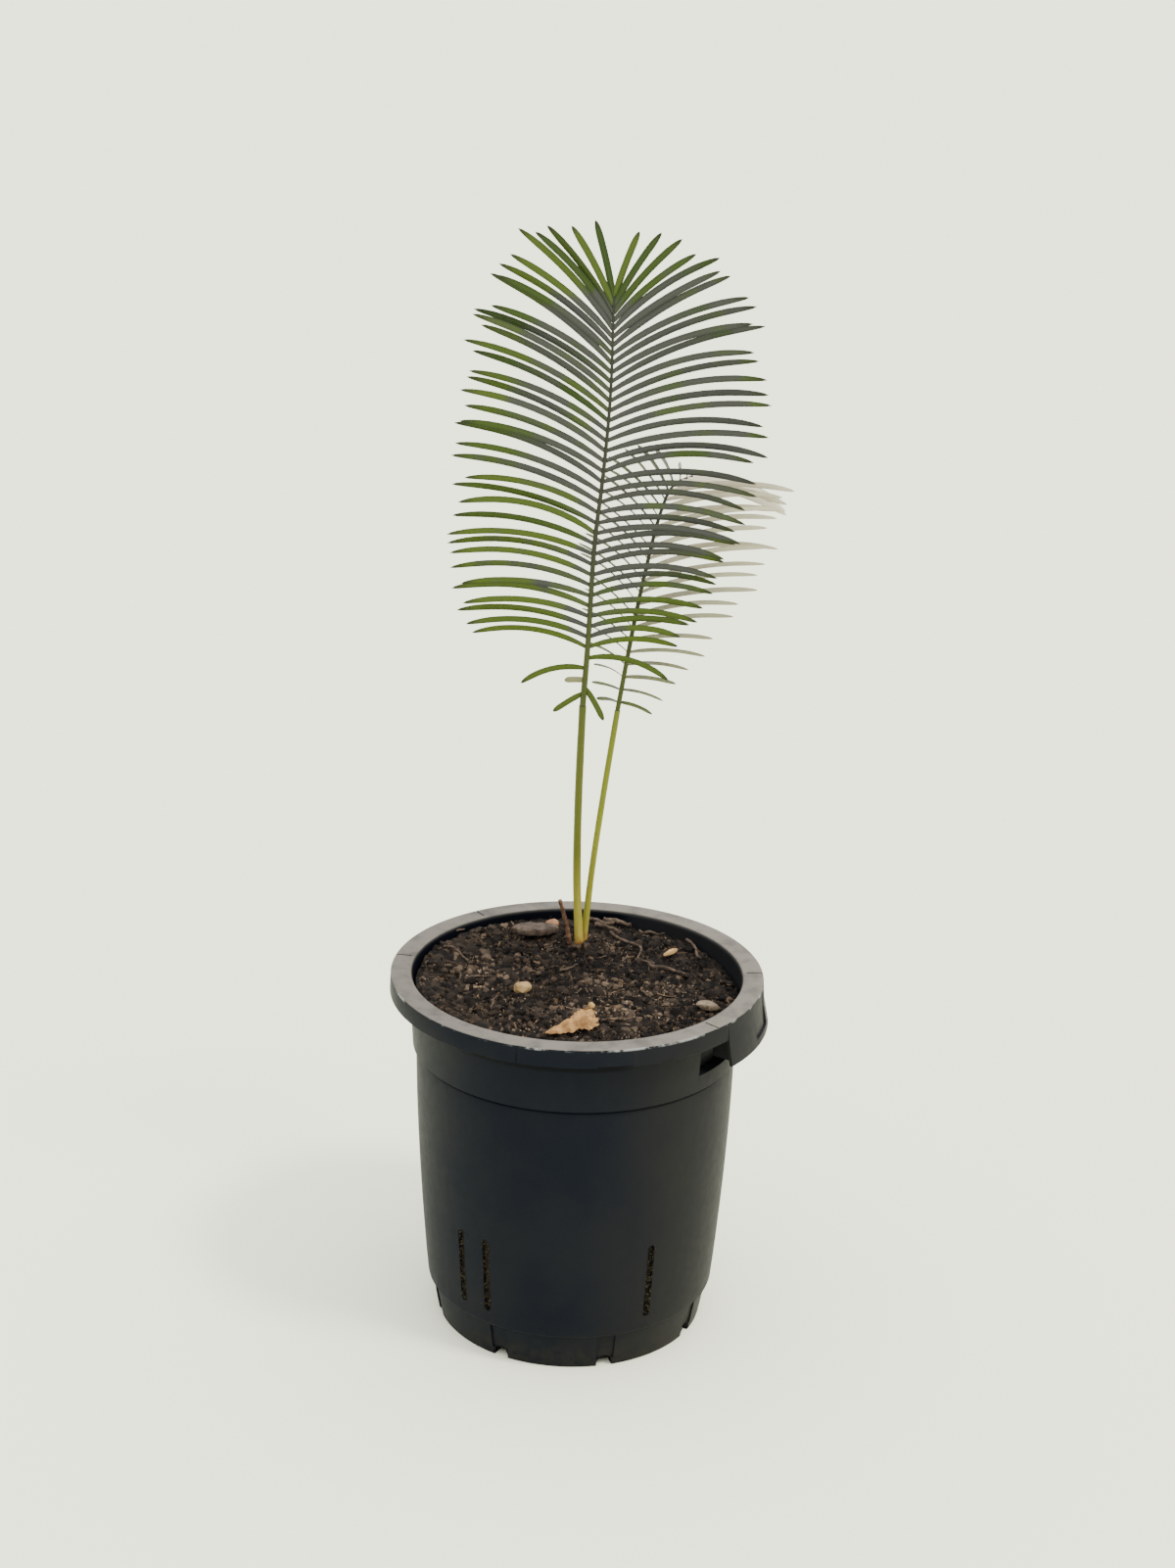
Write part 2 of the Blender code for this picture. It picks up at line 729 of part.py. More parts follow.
def build_stub(parts):
    """The dry stub of an old leaf stalk beside the young ones."""
    line = smooth_line(
        ((-0.0060, 0.0645, 0.0), (-0.0088, 0.0642, 0.253), (-0.0140, 0.0635, 0.2722)), 7
    )
    line[0].z = SOIL_TOP + CROWN_HEIGHT + 1.5 * SEAM
    for index, share in ((1, 1 / 6), (2, 2 / 6), (3, 3 / 6)):
        line[index].z = line[0].z + share * (line[-1].z - line[0].z)
    stub = limb("old_petiole_stub", line, 0.0015, 0.0011, parts)
    finish_surface(stub, plain_material("dry stalk", (0.16, 0.075, 0.040), 0.85))
    return stub


# ---------------------------------------------------------------- what lies on the soil

def pebble(name, place, size, turn, seed, colour, parts):
    """A worn lump with a flat underside."""
    draw = random.Random(seed)
    bm = bmesh.new()
    bmesh.ops.create_icosphere(bm, subdivisions=2, radius=0.5)
    for vertex in bm.verts:
        vertex.co *= 1 + draw.uniform(-0.07, 0.07)
        vertex.co.z = max(vertex.co.z, -0.28)
    bmesh.ops.scale(bm, vec=size, verts=bm.verts)
    obj = mesh_object(name, bm, parts)
    rest = resting_height(place, [0.6 * side for side in size], turn)
    obj.location = (place[0], place[1], rest + 0.28 * size[2])
    obj.rotation_euler = (0.0, 0.0, turn)
    finish_surface(obj, plain_material(name, colour, 0.8), math.radians(50))
    return obj


def bark_chip(parts):
    """A flat sliver of bark, longer than broad, with a chipped outline."""
    length, breadth, thick = 0.0330, 0.0150, 0.0046
    bm = bmesh.new()
    bmesh.ops.create_cone(bm, cap_ends=True, segments=14, radius1=0.5, radius2=0.46, depth=1.0)
    draw = random.Random(5)
    for vertex in bm.verts:
        nudge = 1 + draw.uniform(-0.12, 0.12)
        vertex.co.x *= nudge
        vertex.co.y *= nudge
    bmesh.ops.scale(bm, vec=(length, breadth, thick), verts=bm.verts)
    obj = mesh_object("bark_chip", bm, parts)
    place, turn = (-0.0310, 0.0825), math.radians(4)
    rest = resting_height(place, (length, breadth), turn)
    obj.location = (*place, rest + thick / 2)
    obj.rotation_euler = (0.0, 0.0, turn)
    finish_surface(obj, plain_material("bark", (0.11, 0.085, 0.070), 0.9))
    return obj


def dead_leaf(parts):
    """A dry leaf, curled along its length, lying on its two long edges."""
    length, breadth, arch, thick = 0.036, 0.014, 0.0045, 0.0009
    bm = bmesh.new()
    bmesh.ops.create_grid(bm, x_segments=10, y_segments=4, size=0.5)
    for vertex in bm.verts:
        along, across = vertex.co.x, vertex.co.y
        taper = math.sqrt(max(0.0, 1 - (1.75 * along) ** 2)) * 0.9 + 0.1
        vertex.co.x = along * length
        vertex.co.y = across * breadth * taper
        vertex.co.z = arch * taper * (1 - (2 * across) ** 2)
    obj = mesh_object("dead_leaf", bm, parts)
    shell = obj.modifiers.new("Blade", "SOLIDIFY")
    shell.thickness = thick
    shell.offset = 1.0
    place, turn = (-0.0020, -0.0680), math.radians(24)
    obj.location = (*place, resting_height(place, (length, breadth), turn))
    obj.rotation_euler = (0.0, 0.0, turn)
    apply_modifiers(obj)
    finish_surface(obj, plain_material("dry leaf", (0.50, 0.29, 0.13), 0.85))
    return obj


# ---------------------------------------------------------------- the whole plant

def main():
    clear_scene()
    parts = new_collection("potted cycad")
    helpers = new_collection("cutters")
    stalk_material = plain_material("leaf stalk", (0.22, 0.30, 0.035), 0.5)
    leaf_material = plain_material("leaf", (0.060, 0.145, 0.018), 0.42)
    nodes = [
        build_pot(parts, helpers),
        build_soil(parts),
        build_crown(parts),
        build_stalk(FRONT_STALK, parts, stalk_material),
        build_frond(FRONT_FROND, parts, leaf_material),
        build_stalk(BACK_STALK, parts, stalk_material),
        build_frond(BACK_FROND, parts, leaf_material),
        build_stub(parts),
        bark_chip(parts),
        dead_leaf(parts),
        pebble("pale_stone", (-0.0360, -0.0070), (0.0155, 0.0120, 0.0095), 0.3, 3,
               (0.58, 0.42, 0.22), parts),
        pebble("orange_stone", (-0.0200, 0.0965), (0.0120, 0.0090, 0.0072), 0.1, 4,
               (0.56, 0.27, 0.12), parts),
        pebble("wood_flake", (0.0840, -0.0250), (0.0100, 0.0080, 0.0060), -0.6, 9,
               (0.55, 0.47, 0.34), parts),
    ]
    frame = bpy.data.objects.new("potted_cycad_frame", None)
    parts.objects.link(frame)
    for node in nodes:
        node.parent = frame


if __name__ == "__main__":
    main()
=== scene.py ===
"""Dresses the potted cycad: its moulded pot, the potting mix, the crown and two feathered fronds.

Everything is in metres in the frame of the solids. The pot's underside is at Z = 0, -Y is the
front, and an azimuth is measured about the pot's axis from +X towards +Y.
"""

import logging
import random
from dataclasses import dataclass, field
from enum import Enum
from functools import cache
from math import atan2, copysign, cos, exp, hypot, pi, radians, sin, sqrt, tau
from typing import Iterable, Optional, Sequence

import bmesh
import bpy
from bpy.types import Material, Mesh, Node, NodeSocket, NodeTree, Object
from mathutils import Matrix, Quaternion, Vector, noise


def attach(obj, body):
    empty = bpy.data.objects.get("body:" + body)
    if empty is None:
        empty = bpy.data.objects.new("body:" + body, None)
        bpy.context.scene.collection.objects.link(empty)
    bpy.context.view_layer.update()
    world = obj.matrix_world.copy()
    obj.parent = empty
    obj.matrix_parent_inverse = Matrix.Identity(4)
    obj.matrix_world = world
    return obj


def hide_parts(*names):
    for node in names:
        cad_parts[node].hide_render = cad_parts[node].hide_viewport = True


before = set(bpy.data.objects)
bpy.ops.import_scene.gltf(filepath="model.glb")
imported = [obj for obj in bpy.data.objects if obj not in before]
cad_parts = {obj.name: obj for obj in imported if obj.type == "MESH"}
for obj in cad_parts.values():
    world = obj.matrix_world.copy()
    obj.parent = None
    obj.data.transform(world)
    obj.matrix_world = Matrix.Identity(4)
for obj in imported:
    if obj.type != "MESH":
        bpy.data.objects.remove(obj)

LOG = logging.getLogger("potted_cycad")
BODY = "root"
UP = Vector((0.0, 0.0, 1.0))
Colour = tuple[float, float, float]
Point = tuple[float, float, float]
Outline = list[tuple[float, float]]


# ---------------- node trees


class Wiring:
    """Adds nodes to one tree and joins them."""

    def __init__(self, tree: NodeTree) -> None:
        """Starts on an existing tree."""
        self.tree = tree

    def add(self, kind: str, **settings: object) -> Node:
        """Adds one node.

        Args:
            kind: The node's type name.
            settings: Properties to set on it.

        Returns:
            The new node.
        """
        node = self.tree.nodes.new(kind)
        for name, value in settings.items():
            setattr(node, name, value)
        return node

    def feed(self, target: NodeSocket, source: object) -> None:
        """Joins a socket to the target, or sets the target's own value.

        Args:
            target: An input socket.
            source: An output socket, or a plain value. A colour has three numbers.
        """
        if isinstance(source, NodeSocket):
            self.tree.links.new(source, target)
        else:
            target.default_value = (*source, 1.0) if target.type == "RGBA" else source

    def via(self, kind: str, *terms: object, **settings: object) -> NodeSocket:
        """Sends values through a new node, in at the inputs that it shows.

        Args:
            kind: The node's type name.
            terms: Sockets or values for its inputs, in order. None leaves one as it is.
            settings: Properties to set on it.

        Returns:
            The output.
        """
        node = self.add(kind, **settings)
        for socket, term in zip([s for s in node.inputs if s.enabled], terms):
            if term is not None:
                self.feed(socket, term)
        return next(s for s in node.outputs if s.enabled)

    def math(self, operation: str, *terms: object, clamp: bool = False) -> NodeSocket:
        """Gives the result of a Math node, held between 0 and 1 if clamp is set."""
        return self.via("ShaderNodeMath", *terms, operation=operation, use_clamp=clamp)

    def times(self, one: object, other: object) -> NodeSocket:
        """Multiplies two values."""
        return self.math("MULTIPLY", one, other)

    def vector(self, operation: str, *terms: object) -> NodeSocket:
        """Gives the result of a Vector Math node."""
        return self.via("ShaderNodeVectorMath", *terms, operation=operation)

    def blend(self, one: object, share: object, other: object, rest: object) -> NodeSocket:
        """Adds a vector times its share to another vector times the rest."""
        return self.vector("ADD", self.vector("SCALE", one, share),
                           self.vector("SCALE", other, rest))

    def split(self, vector: object) -> list[NodeSocket]:
        """Splits a vector into its three values."""
        first = self.via("ShaderNodeSeparateXYZ", vector)
        return list(first.node.outputs)

    def upright(self, height: object) -> NodeSocket:
        """Makes a vector along Z of a height."""
        return self.via("ShaderNodeCombineXYZ", 0.0, 0.0, height)

    def coats(self, base: object, *coats: tuple[object, object]) -> NodeSocket:
        """Lays coats over a colour, one after the other.

        Args:
            base: The colour below.
            coats: How much each one covers, from 0 to 1, and its colour.

        Returns:
            The colour on top.
        """
        for share, colour in coats:
            base = self.via("ShaderNodeMix", share, base, colour, data_type="RGBA")
        return base

    def span(self, value: object, low: float, high: float, to_low: float = 0.0,
             to_high: float = 1.0, shape: str = "SMOOTHSTEP") -> NodeSocket:
        """Maps a value from the span low to high onto to_low to to_high, and holds it there."""
        return self.via("ShaderNodeMapRange", value, low, high, to_low, to_high,
                        interpolation_type=shape)

    def ramp(self, factor: object, stops: Sequence[tuple[float, Colour]]) -> NodeSocket:
        """Adds a colour ramp.

        Args:
            factor: What drives the ramp.
            stops: Places from 0 to 1 with their colours.

        Returns:
            The colour socket.
        """
        node = self.add("ShaderNodeValToRGB")
        elements = node.color_ramp.elements
        while len(elements) < len(stops):
            elements.new(0.5)
        for element, (place, colour) in zip(elements, stops):
            element.position = place
            element.color = (*colour, 1.0)
        self.feed(node.inputs[0], factor)
        return node.outputs[0]

    def noise(self, vector: object, scale: object, detail: float = 4.0, roughness: float = 0.5,
              stretch: Optional[Point] = None) -> NodeSocket:
        """Adds a noise texture.

        Args:
            vector: Where it is read.
            scale: Its scale per metre.
            detail: Octaves.
            roughness: Weight of the fine octaves.
            stretch: Factors that squeeze the pattern along each axis.

        Returns:
            Its value from 0 to 1.
        """
        if stretch is not None:
            vector = self.via("ShaderNodeMapping", vector, None, None, stretch)
        return self.via("ShaderNodeTexNoise", vector, scale, detail, roughness)

    def attribute(self, name: str, output: str = "Fac") -> NodeSocket:
        """Reads a named attribute in a shader."""
        return self.add("ShaderNodeAttribute", attribute_name=name).outputs[output]

    def field(self, name: str, kind: str = "FLOAT") -> NodeSocket:
        """Reads a named attribute of a data type in Geometry Nodes."""
        return self.via("GeometryNodeInputNamedAttribute", name, data_type=kind)


def shader_group(name: str, outputs: Sequence[str], **inputs: float
                 ) -> tuple[Wiring, object, object]:
    """Starts a shader node group that reads a vector and named values.

    Args:
        name: The group's name.
        outputs: The names of the values that it puts out.
        inputs: Its inputs' defaults. Underscores stand for spaces.

    Returns:
        The wiring, the group's own inputs and its outputs, by name.
    """
    tree = bpy.data.node_groups.new(name, "ShaderNodeTree")
    face = tree.interface
    face.new_socket(name="Vector", in_out="INPUT", socket_type="NodeSocketVector")
    for label, default in inputs.items():
        socket = face.new_socket(name=label.replace("_", " "), in_out="INPUT",
                                 socket_type="NodeSocketFloat")
        socket.default_value = default
    for label in outputs:
        face.new_socket(name=label, in_out="OUTPUT", socket_type="NodeSocketFloat")
    wiring = Wiring(tree)
    return wiring, wiring.add("NodeGroupInput").outputs, wiring.add("NodeGroupOutput").inputs


class Effects:
    """Shader node groups that several finishes share. Each is built once."""

    @staticmethod
    @cache
    def mottle() -> NodeTree:
        """Makes cloudy patches.

        Returns:
            The group, with a broad mask and a fine one as its outputs Broad and Fine.
        """
        wiring, given, out = shader_group("Mottle", ("Broad", "Fine"), Scale=60.0)
        broad = wiring.noise(given["Vector"], given["Scale"], 3.0)
        fine = wiring.noise(given["Vector"], wiring.times(given["Scale"], 9.0), 6.0, 0.65)
        wiring.feed(out["Broad"], wiring.span(broad, 0.36, 0.64))
        wiring.feed(out["Fine"], wiring.span(fine, 0.30, 0.70))
        return wiring.tree

    @staticmethod
    @cache
    def settled_dust() -> NodeTree:
        """Makes dust that lies on what faces up, broken by patches.

        Returns:
            The group, with the output Mask.
        """
        wiring, given, out = shader_group("Settled dust", ("Mask",), Facing_Up=0.0, Amount=0.5,
                                          Scale=90.0)
        lying = wiring.span(given["Facing Up"], 0.25, 0.95)
        patches = wiring.noise(given["Vector"], given["Scale"], 7.0, 0.62)
        mask = wiring.times(lying, wiring.span(patches, 0.25, 0.60, 0.58, 1.0))
        wiring.feed(out["Mask"], wiring.math("MULTIPLY", mask, given["Amount"], clamp=True))
        return wiring.tree

    @staticmethod
    @cache
    def streaks() -> NodeTree:
        """Makes fine marks drawn out along Z, such as rubs, fibres and grain.

        Returns:
            The group, with the output Mask.
        """
        wiring, given, out = shader_group("Streaks", ("Mask",), Scale=40.0, Density=0.5)
        value = wiring.noise(given["Vector"], given["Scale"], 5.0, 0.6, (1.0, 1.0, 0.08))
        edge = wiring.math("SUBTRACT", 1.0, given["Density"])
        above = wiring.math("SUBTRACT", value, edge)
        wiring.feed(out["Mask"], wiring.math("MULTIPLY", above, 7.0, clamp=True))
        return wiring.tree


class Finish:
    """A material under way: its Principled shader and the patterns that feed it."""

    def __init__(self, name: str) -> None:
        """Starts a node material.

        Args:
            name: The material's name.
        """
        self.material = bpy.data.materials.new(name)
        self.material.use_nodes = True
        self.wiring = Wiring(self.material.node_tree)
        self.shader = self.material.node_tree.nodes["Principled BSDF"]
        self.place = self.wiring.add("ShaderNodeTexCoord").outputs["Object"]
        normal = self.wiring.add("ShaderNodeNewGeometry").outputs["Normal"]
        self.facing_up = self.wiring.split(normal)[2]
        self.x, _, self.height = self.wiring.split(self.place)

    def group(self, tree: NodeTree, **values: object) -> object:
        """Places a shared effect, reading this surface's own coordinates.

        Args:
            tree: The shader node group.
            values: Values of its inputs.

        Returns:
            The group's outputs, by name.
        """
        node = self.wiring.add("ShaderNodeGroup", node_tree=tree)
        self.wiring.feed(node.inputs["Vector"], self.place)
        if "Facing Up" in node.inputs:
            self.wiring.feed(node.inputs["Facing Up"], self.facing_up)
        for name, value in values.items():
            self.wiring.feed(node.inputs[name], value)
        return node.outputs

    def set(self, **sockets: object) -> "Finish":
        """Sets or feeds the shader's sockets.

        Args:
            sockets: Values by name. Underscores stand for spaces.

        Returns:
            This finish.
        """
        for name, value in sockets.items():
            self.wiring.feed(self.shader.inputs[name.replace("_", " ")], value)
        return self

    def bump(self, height: NodeSocket, distance: float, strength: float = 1.0) -> "Finish":
        """Feeds the shader's normal from a height pattern of a depth in metres."""
        normal = self.wiring.via("ShaderNodeBump", strength, distance, None, height)
        return self.set(Normal=normal)


# ---------------- finishes


@dataclass(frozen=True)
class MouldedPlastic:
    """Black moulded plastic with a satin skin, dust on its ledges and rubs down its side. Its
    colour also holds painted light: a lighter right side, a painted shadow under the skirt and a
    painted highlight along the rim's outer edge.
    """

    name: str = "pot plastic"
    body: Colour = (0.0028, 0.0042, 0.0078)
    # Cloudy lighter patches in the plastic's own colour.
    bloom: Colour = (0.0054, 0.0063, 0.0086)
    rubbed: Colour = (0.017, 0.017, 0.017)
    grit: Colour = (0.022, 0.019, 0.013)
    # Warm grey over the right side (+X): painted sunlight on that side.
    painted_sunlit_side: Colour = (0.0115, 0.0108, 0.0098)
    dust: Colour = (0.122, 0.111, 0.092)
    dust_amount: float = 0.96
    # Near-black navy for the painted shadow under the skirt.
    painted_skirt_shadow: Colour = (0.0009, 0.0014, 0.0028)
    # Pale grey for the painted highlight along the rim's outer edge.
    painted_edge_glint: Colour = (0.26, 0.26, 0.25)
    skirt_middle: Point = (0.0, 0.0, 0.231)
    rim_middle: Point = (0.0, 0.0, 0.249)

    def build(self) -> Material:
        """Builds the material.

        Returns:
            The material.
        """
        finish = Finish(self.name)
        wiring = finish.wiring
        clouds = finish.group(Effects.mottle(), Scale=16.0)
        rubs = finish.group(Effects.streaks(), Scale=60.0, Density=0.36)
        rim = wiring.times(wiring.span(finish.height, 0.2380, 0.2470, 0.0, self.dust_amount),
                           wiring.span(finish.x, -0.120, 0.010, 0.84, 1.0))
        dust = finish.group(Effects.settled_dust(), Amount=rim, Scale=70.0)
        low = wiring.span(finish.height, 0.030, 0.0, 0.0, 0.50)
        # Painted shadow: a dark band on the collar just under the skirt, left out on the right
        # side.
        away = wiring.vector("DISTANCE", finish.place, self.skirt_middle)
        under = wiring.times(wiring.span(away, 0.1180, 0.1150),
                             wiring.span(finish.height, 0.2262, 0.2282))
        front = wiring.math("MULTIPLY", under, wiring.span(finish.x, 0.040, 0.028), clamp=True)
        # Painted highlight: a thin pale line along the rim's outer top edge, broken into patches.
        away = wiring.vector("DISTANCE", finish.place, self.rim_middle)
        brink = wiring.times(wiring.span(away, 0.1244, 0.1249),
                             wiring.span(finish.height, 0.2470, 0.2480))
        glint_breaks = wiring.span(wiring.noise(finish.place, 55.0, 5.0, 0.7), 0.50, 0.62, 0.0, 0.7)
        base = wiring.coats(
            self.body, (clouds["Broad"], self.bloom),
            # Lighter towards the right side (+X): painted sunlight.
            (wiring.span(finish.x, 0.000, 0.075, 0.0, 0.62), self.painted_sunlit_side),
            (wiring.times(rubs["Mask"], 0.30), self.rubbed),
            (wiring.times(low, clouds["Fine"]), self.grit), (front, self.painted_skirt_shadow),
            (dust["Mask"], self.dust), (wiring.times(brink, glint_breaks), self.painted_edge_glint))
        satin = wiring.math("MULTIPLY_ADD", clouds["Fine"], 0.05, 0.48)
        rough = wiring.math("ADD", satin, wiring.times(dust["Mask"], 0.30))
        grain = wiring.noise(finish.place, 1500.0, 3.0)
        skin = wiring.noise(finish.place, 120.0, 4.0, 0.5, (1.0, 1.0, 0.25))
        relief = wiring.math("MULTIPLY_ADD", skin, 2.4, grain)
        finish.set(Base_Color=base, Roughness=rough, Specular_IOR_Level=0.05)
        return finish.bump(relief, 0.00010, 0.55).material


@dataclass(frozen=True)
class LeafSkin:
    """A leathery leaflet: olive green with painted sky sheen in grey patches, and a dark blunt
    tip.
    """

    name: str
    green: Colour
    deep: Colour
    painted_sheen: Colour
    pale: Colour
    straw: Colour
    tip: Colour = (0.013, 0.015, 0.007)
    sere: Colour = (0.28, 0.20, 0.12)

    def build(self) -> Material:
        """Builds the material.

        Returns:
            The material.
        """
        finish = Finish(self.name)
        wiring = finish.wiring
        along, across, _ = wiring.split(wiring.attribute("blade", "Vector"))
        off_middle = wiring.math("ABSOLUTE", across)
        patches = finish.group(Effects.mottle(), Scale=27.0)
        spread = wiring.math("MULTIPLY_ADD", patches["Broad"], 0.42,
                             wiring.attribute("bloom"))
        # Painted reflection: grey sheen in patches, strongest at the leaflet's foot and fading
        # along it.
        sheen_mask = wiring.math("SUBTRACT", spread, wiring.math("MULTIPLY_ADD", along, 0.62, -0.20))
        dry = wiring.coats(self.straw, (wiring.span(off_middle, 0.70, 0.97, 0.0, 0.7), self.sere))
        base = wiring.coats(
            self.green, (wiring.attribute("tone"), self.deep),
            (wiring.span(sheen_mask, 0.32, 0.70), self.painted_sheen),
            (wiring.span(off_middle, 0.14, 0.03, 0.0, 0.20), self.pale),
            (wiring.span(off_middle, 0.60, 0.96, 0.0, 0.60), self.tip),
            (wiring.span(along, 0.86, 1.0, 0.0, 0.80), self.tip), (wiring.attribute("fade"), dry))
        veins = wiring.math("SINE", wiring.times(across, 26.0))
        gloss = wiring.math("MULTIPLY_ADD", patches["Fine"], 0.14, 0.34)
        finish.set(Base_Color=base, Roughness=gloss, Specular_IOR_Level=0.14)
        return finish.bump(veins, 0.00004, 0.5).material


@dataclass(frozen=True)
class StalkSkin:
    """A waxy stalk whose colour changes with height, freckled with small dark specks."""

    name: str
    stops: tuple[tuple[float, Colour], ...]
    low: float = 0.237
    high: float = 0.720
    fibre: Colour = (0.060, 0.075, 0.012)
    speck: Colour = (0.05, 0.03, 0.012)
    husk: Colour = (0.130, 0.055, 0.016)

    def build(self) -> Material:
        """Builds the material.

        Returns:
            The material.
        """
        finish = Finish(self.name)
        wiring = finish.wiring
        climb = wiring.span(finish.height, self.low, self.high, shape="LINEAR")
        fibres = finish.group(Effects.streaks(), Scale=420.0, Density=0.50)
        specks = wiring.noise(finish.place, 620.0, 2.0)
        sheath = finish.group(Effects.mottle(), Scale=260.0)
        husk = wiring.times(wiring.span(finish.height, 0.2495, 0.2430),
                            wiring.math("MULTIPLY_ADD", sheath["Broad"], 0.7, 0.3))
        base = wiring.coats(
            wiring.ramp(climb, self.stops), (wiring.times(fibres["Mask"], 0.22), self.fibre),
            (wiring.span(specks, 0.66, 0.74, 0.0, 0.6), self.speck), (husk, self.husk))
        finish.set(Base_Color=base, Roughness=0.42, Specular_IOR_Level=0.16)
        return finish.bump(fibres["Mask"], 0.00012, 0.6).material


@dataclass(frozen=True)
class EarthMix:
    """Damp potting mix. Each crumb has its own tone."""

    name: str
    stops: tuple[tuple[float, Colour], ...]
    rough: float = 0.93
    relief: float = 0.0004

    def build(self) -> Material:
        """Builds the material.

        Returns:
            The material.
        """
        finish = Finish(self.name)
        wiring = finish.wiring
        tone = wiring.attribute("tone")
        specks = finish.group(Effects.mottle(), Scale=330.0)
        nudge = wiring.math("MULTIPLY_ADD", specks["Fine"], 0.34, -0.17)
        base = wiring.ramp(wiring.math("ADD", tone, nudge, clamp=True), self.stops)
        finish.set(Base_Color=base, Roughness=self.rough, Specular_IOR_Level=0.10)
        return finish.bump(specks["Fine"], self.relief).material


@dataclass(frozen=True)
class DryMatter:
    """Bark, wood, stone or a dead leaf: two colours in streaks and blotches, with some dust."""

    name: str
    light: Colour
    dark: Colour
    scale: float = 160.0
    streak_scale: float = 300.0
    streak_strength: float = 0.5
    dust: float = 0.15
    dust_tint: Colour = (0.42, 0.38, 0.32)
    relief: float = 0.0006
    rough: float = 0.85

    def build(self) -> Material:
        """Builds the material.

        Returns:
            The material.
        """
        finish = Finish(self.name)
        wiring = finish.wiring
        blotch = finish.group(Effects.mottle(), Scale=self.scale)
        grain = finish.group(Effects.streaks(), Scale=self.streak_scale, Density=0.52)
        dust = finish.group(Effects.settled_dust(), Amount=self.dust, Scale=200.0)
        base = wiring.coats(
            self.light, (blotch["Broad"], self.dark),
            (wiring.times(grain["Mask"], self.streak_strength), self.dark),
            (wiring.times(blotch["Fine"], 0.3), self.light), (dust["Mask"], self.dust_tint))
        relief = wiring.math("ADD", blotch["Fine"], grain["Mask"])
        finish.set(Base_Color=base, Roughness=self.rough, Specular_IOR_Level=0.15)
        return finish.bump(relief, self.relief).material


# ---------------- mesh helpers


def linked(name: str, data: object) -> Object:
    """Makes an object at the origin, in the scene.

    Args:
        name: Its name.
        data: Its mesh, light or camera.

    Returns:
        The object.
    """
    obj = bpy.data.objects.new(name, data)
    bpy.context.scene.collection.objects.link(obj)
    return obj


def mesh_object(name: str, bm: bmesh.types.BMesh) -> Object:
    """Makes an object at the origin from a bmesh.

    Args:
        name: Its name.
        bm: The bmesh, which is freed.

    Returns:
        The object.
    """
    mesh = bpy.data.meshes.new(name)
    bm.to_mesh(mesh)
    bm.free()
    return linked(name, mesh)


def frozen(obj: Object) -> Object:
    """Turns an object's evaluated shape into its own plain mesh.

    Args:
        obj: The object, which loses its modifiers.

    Returns:
        The object.
    """
    bpy.context.view_layer.update()
    graph = bpy.context.evaluated_depsgraph_get()
    mesh = bpy.data.meshes.new_from_object(obj.evaluated_get(graph))
    before = obj.data
    obj.modifiers.clear()
    obj.data = mesh
    mesh.name = obj.name
    if before.users == 0:
        bpy.data.meshes.remove(before)
    return obj


def dropped(*objects: Object) -> None:
    """Removes helper objects."""
    for obj in objects:
        bpy.data.objects.remove(obj, do_unlink=True)


def dressed(obj: Object, material: Optional[Material], slot: str,
            *nodes: str, sharp: float = 40.0) -> Object:
    """Shades a finished piece, gives it its material, hangs it on the body and hides the solids
    that it stands for.

    Args:
        obj: The piece.
        material: Its only material, or None to keep the ones on it.
        slot: A material slot's name. It is not used.
        nodes: The solids that it replaces.
        sharp: The angle in degrees past which an edge stays sharp.

    Returns:
        The piece.
    """
    if material is not None:
        obj.data.materials.clear()
        obj.data.materials.append(material)
        for polygon in obj.data.polygons:
            polygon.material_index = 0
    obj.data.shade_smooth()
    obj.data.set_sharp_from_angle(angle=radians(sharp))
    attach(obj, BODY)
    if nodes:
        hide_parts(*nodes)
    LOG.info("%s: %d faces", obj.name, len(obj.data.polygons))
    return obj


def rounded(points: Outline, radius: float, steps: int = 3) -> Outline:
    """Rounds the corners of an open outline.

    Args:
        points: (radius, height) points.
        radius: The most that a corner is cut back.
        steps: Points in each rounded corner, less one.

    Returns:
        The outline with rounded corners.
    """
    result = [points[0]]
    for before, corner, after in zip(points, points[1:], points[2:]):
        a, b, c = Vector(before), Vector(corner), Vector(after)
        turn = (a - b).angle(c - b, pi)
        if turn > radians(168):
            result.append(corner)
            continue
        cut = min(radius, 0.42 * (a - b).length, 0.42 * (c - b).length)
        start = b + (a - b).normalized() * cut
        end = b + (c - b).normalized() * cut
        for step in range(steps + 1):
            t = step / steps
            spot = (1 - t) ** 2 * start + 2 * t * (1 - t) * b + t ** 2 * end
            result.append((spot.x, spot.y))
    return [*result, points[-1]]


def skinned(name: str, rings: Sequence[Sequence[Point]], capped: bool = True,
            closed: bool = True) -> Object:
    """Joins rings of points, one after the other, into a skin.

    Args:
        name: The object's name.
        rings: Rings that all have the same number of points.
        capped: Whether the first and the last ring are filled.
        closed: Whether the last point of a ring joins its first.

    Returns:
        The object.
    """
    bm = bmesh.new()
    rows = [[bm.verts.new(point) for point in ring] for ring in rings]
    if capped:
        bm.faces.new(rows[0])
        bm.faces.new(list(reversed(rows[-1])))
    count = len(rows[0])
    for one, other in zip(rows, rows[1:]):
        for index in range(count if closed else count - 1):
            after = (index + 1) % count
            bm.faces.new((one[index], other[index], other[after], one[after]))
    bmesh.ops.recalc_face_normals(bm, faces=bm.faces)
    return mesh_object(name, bm)


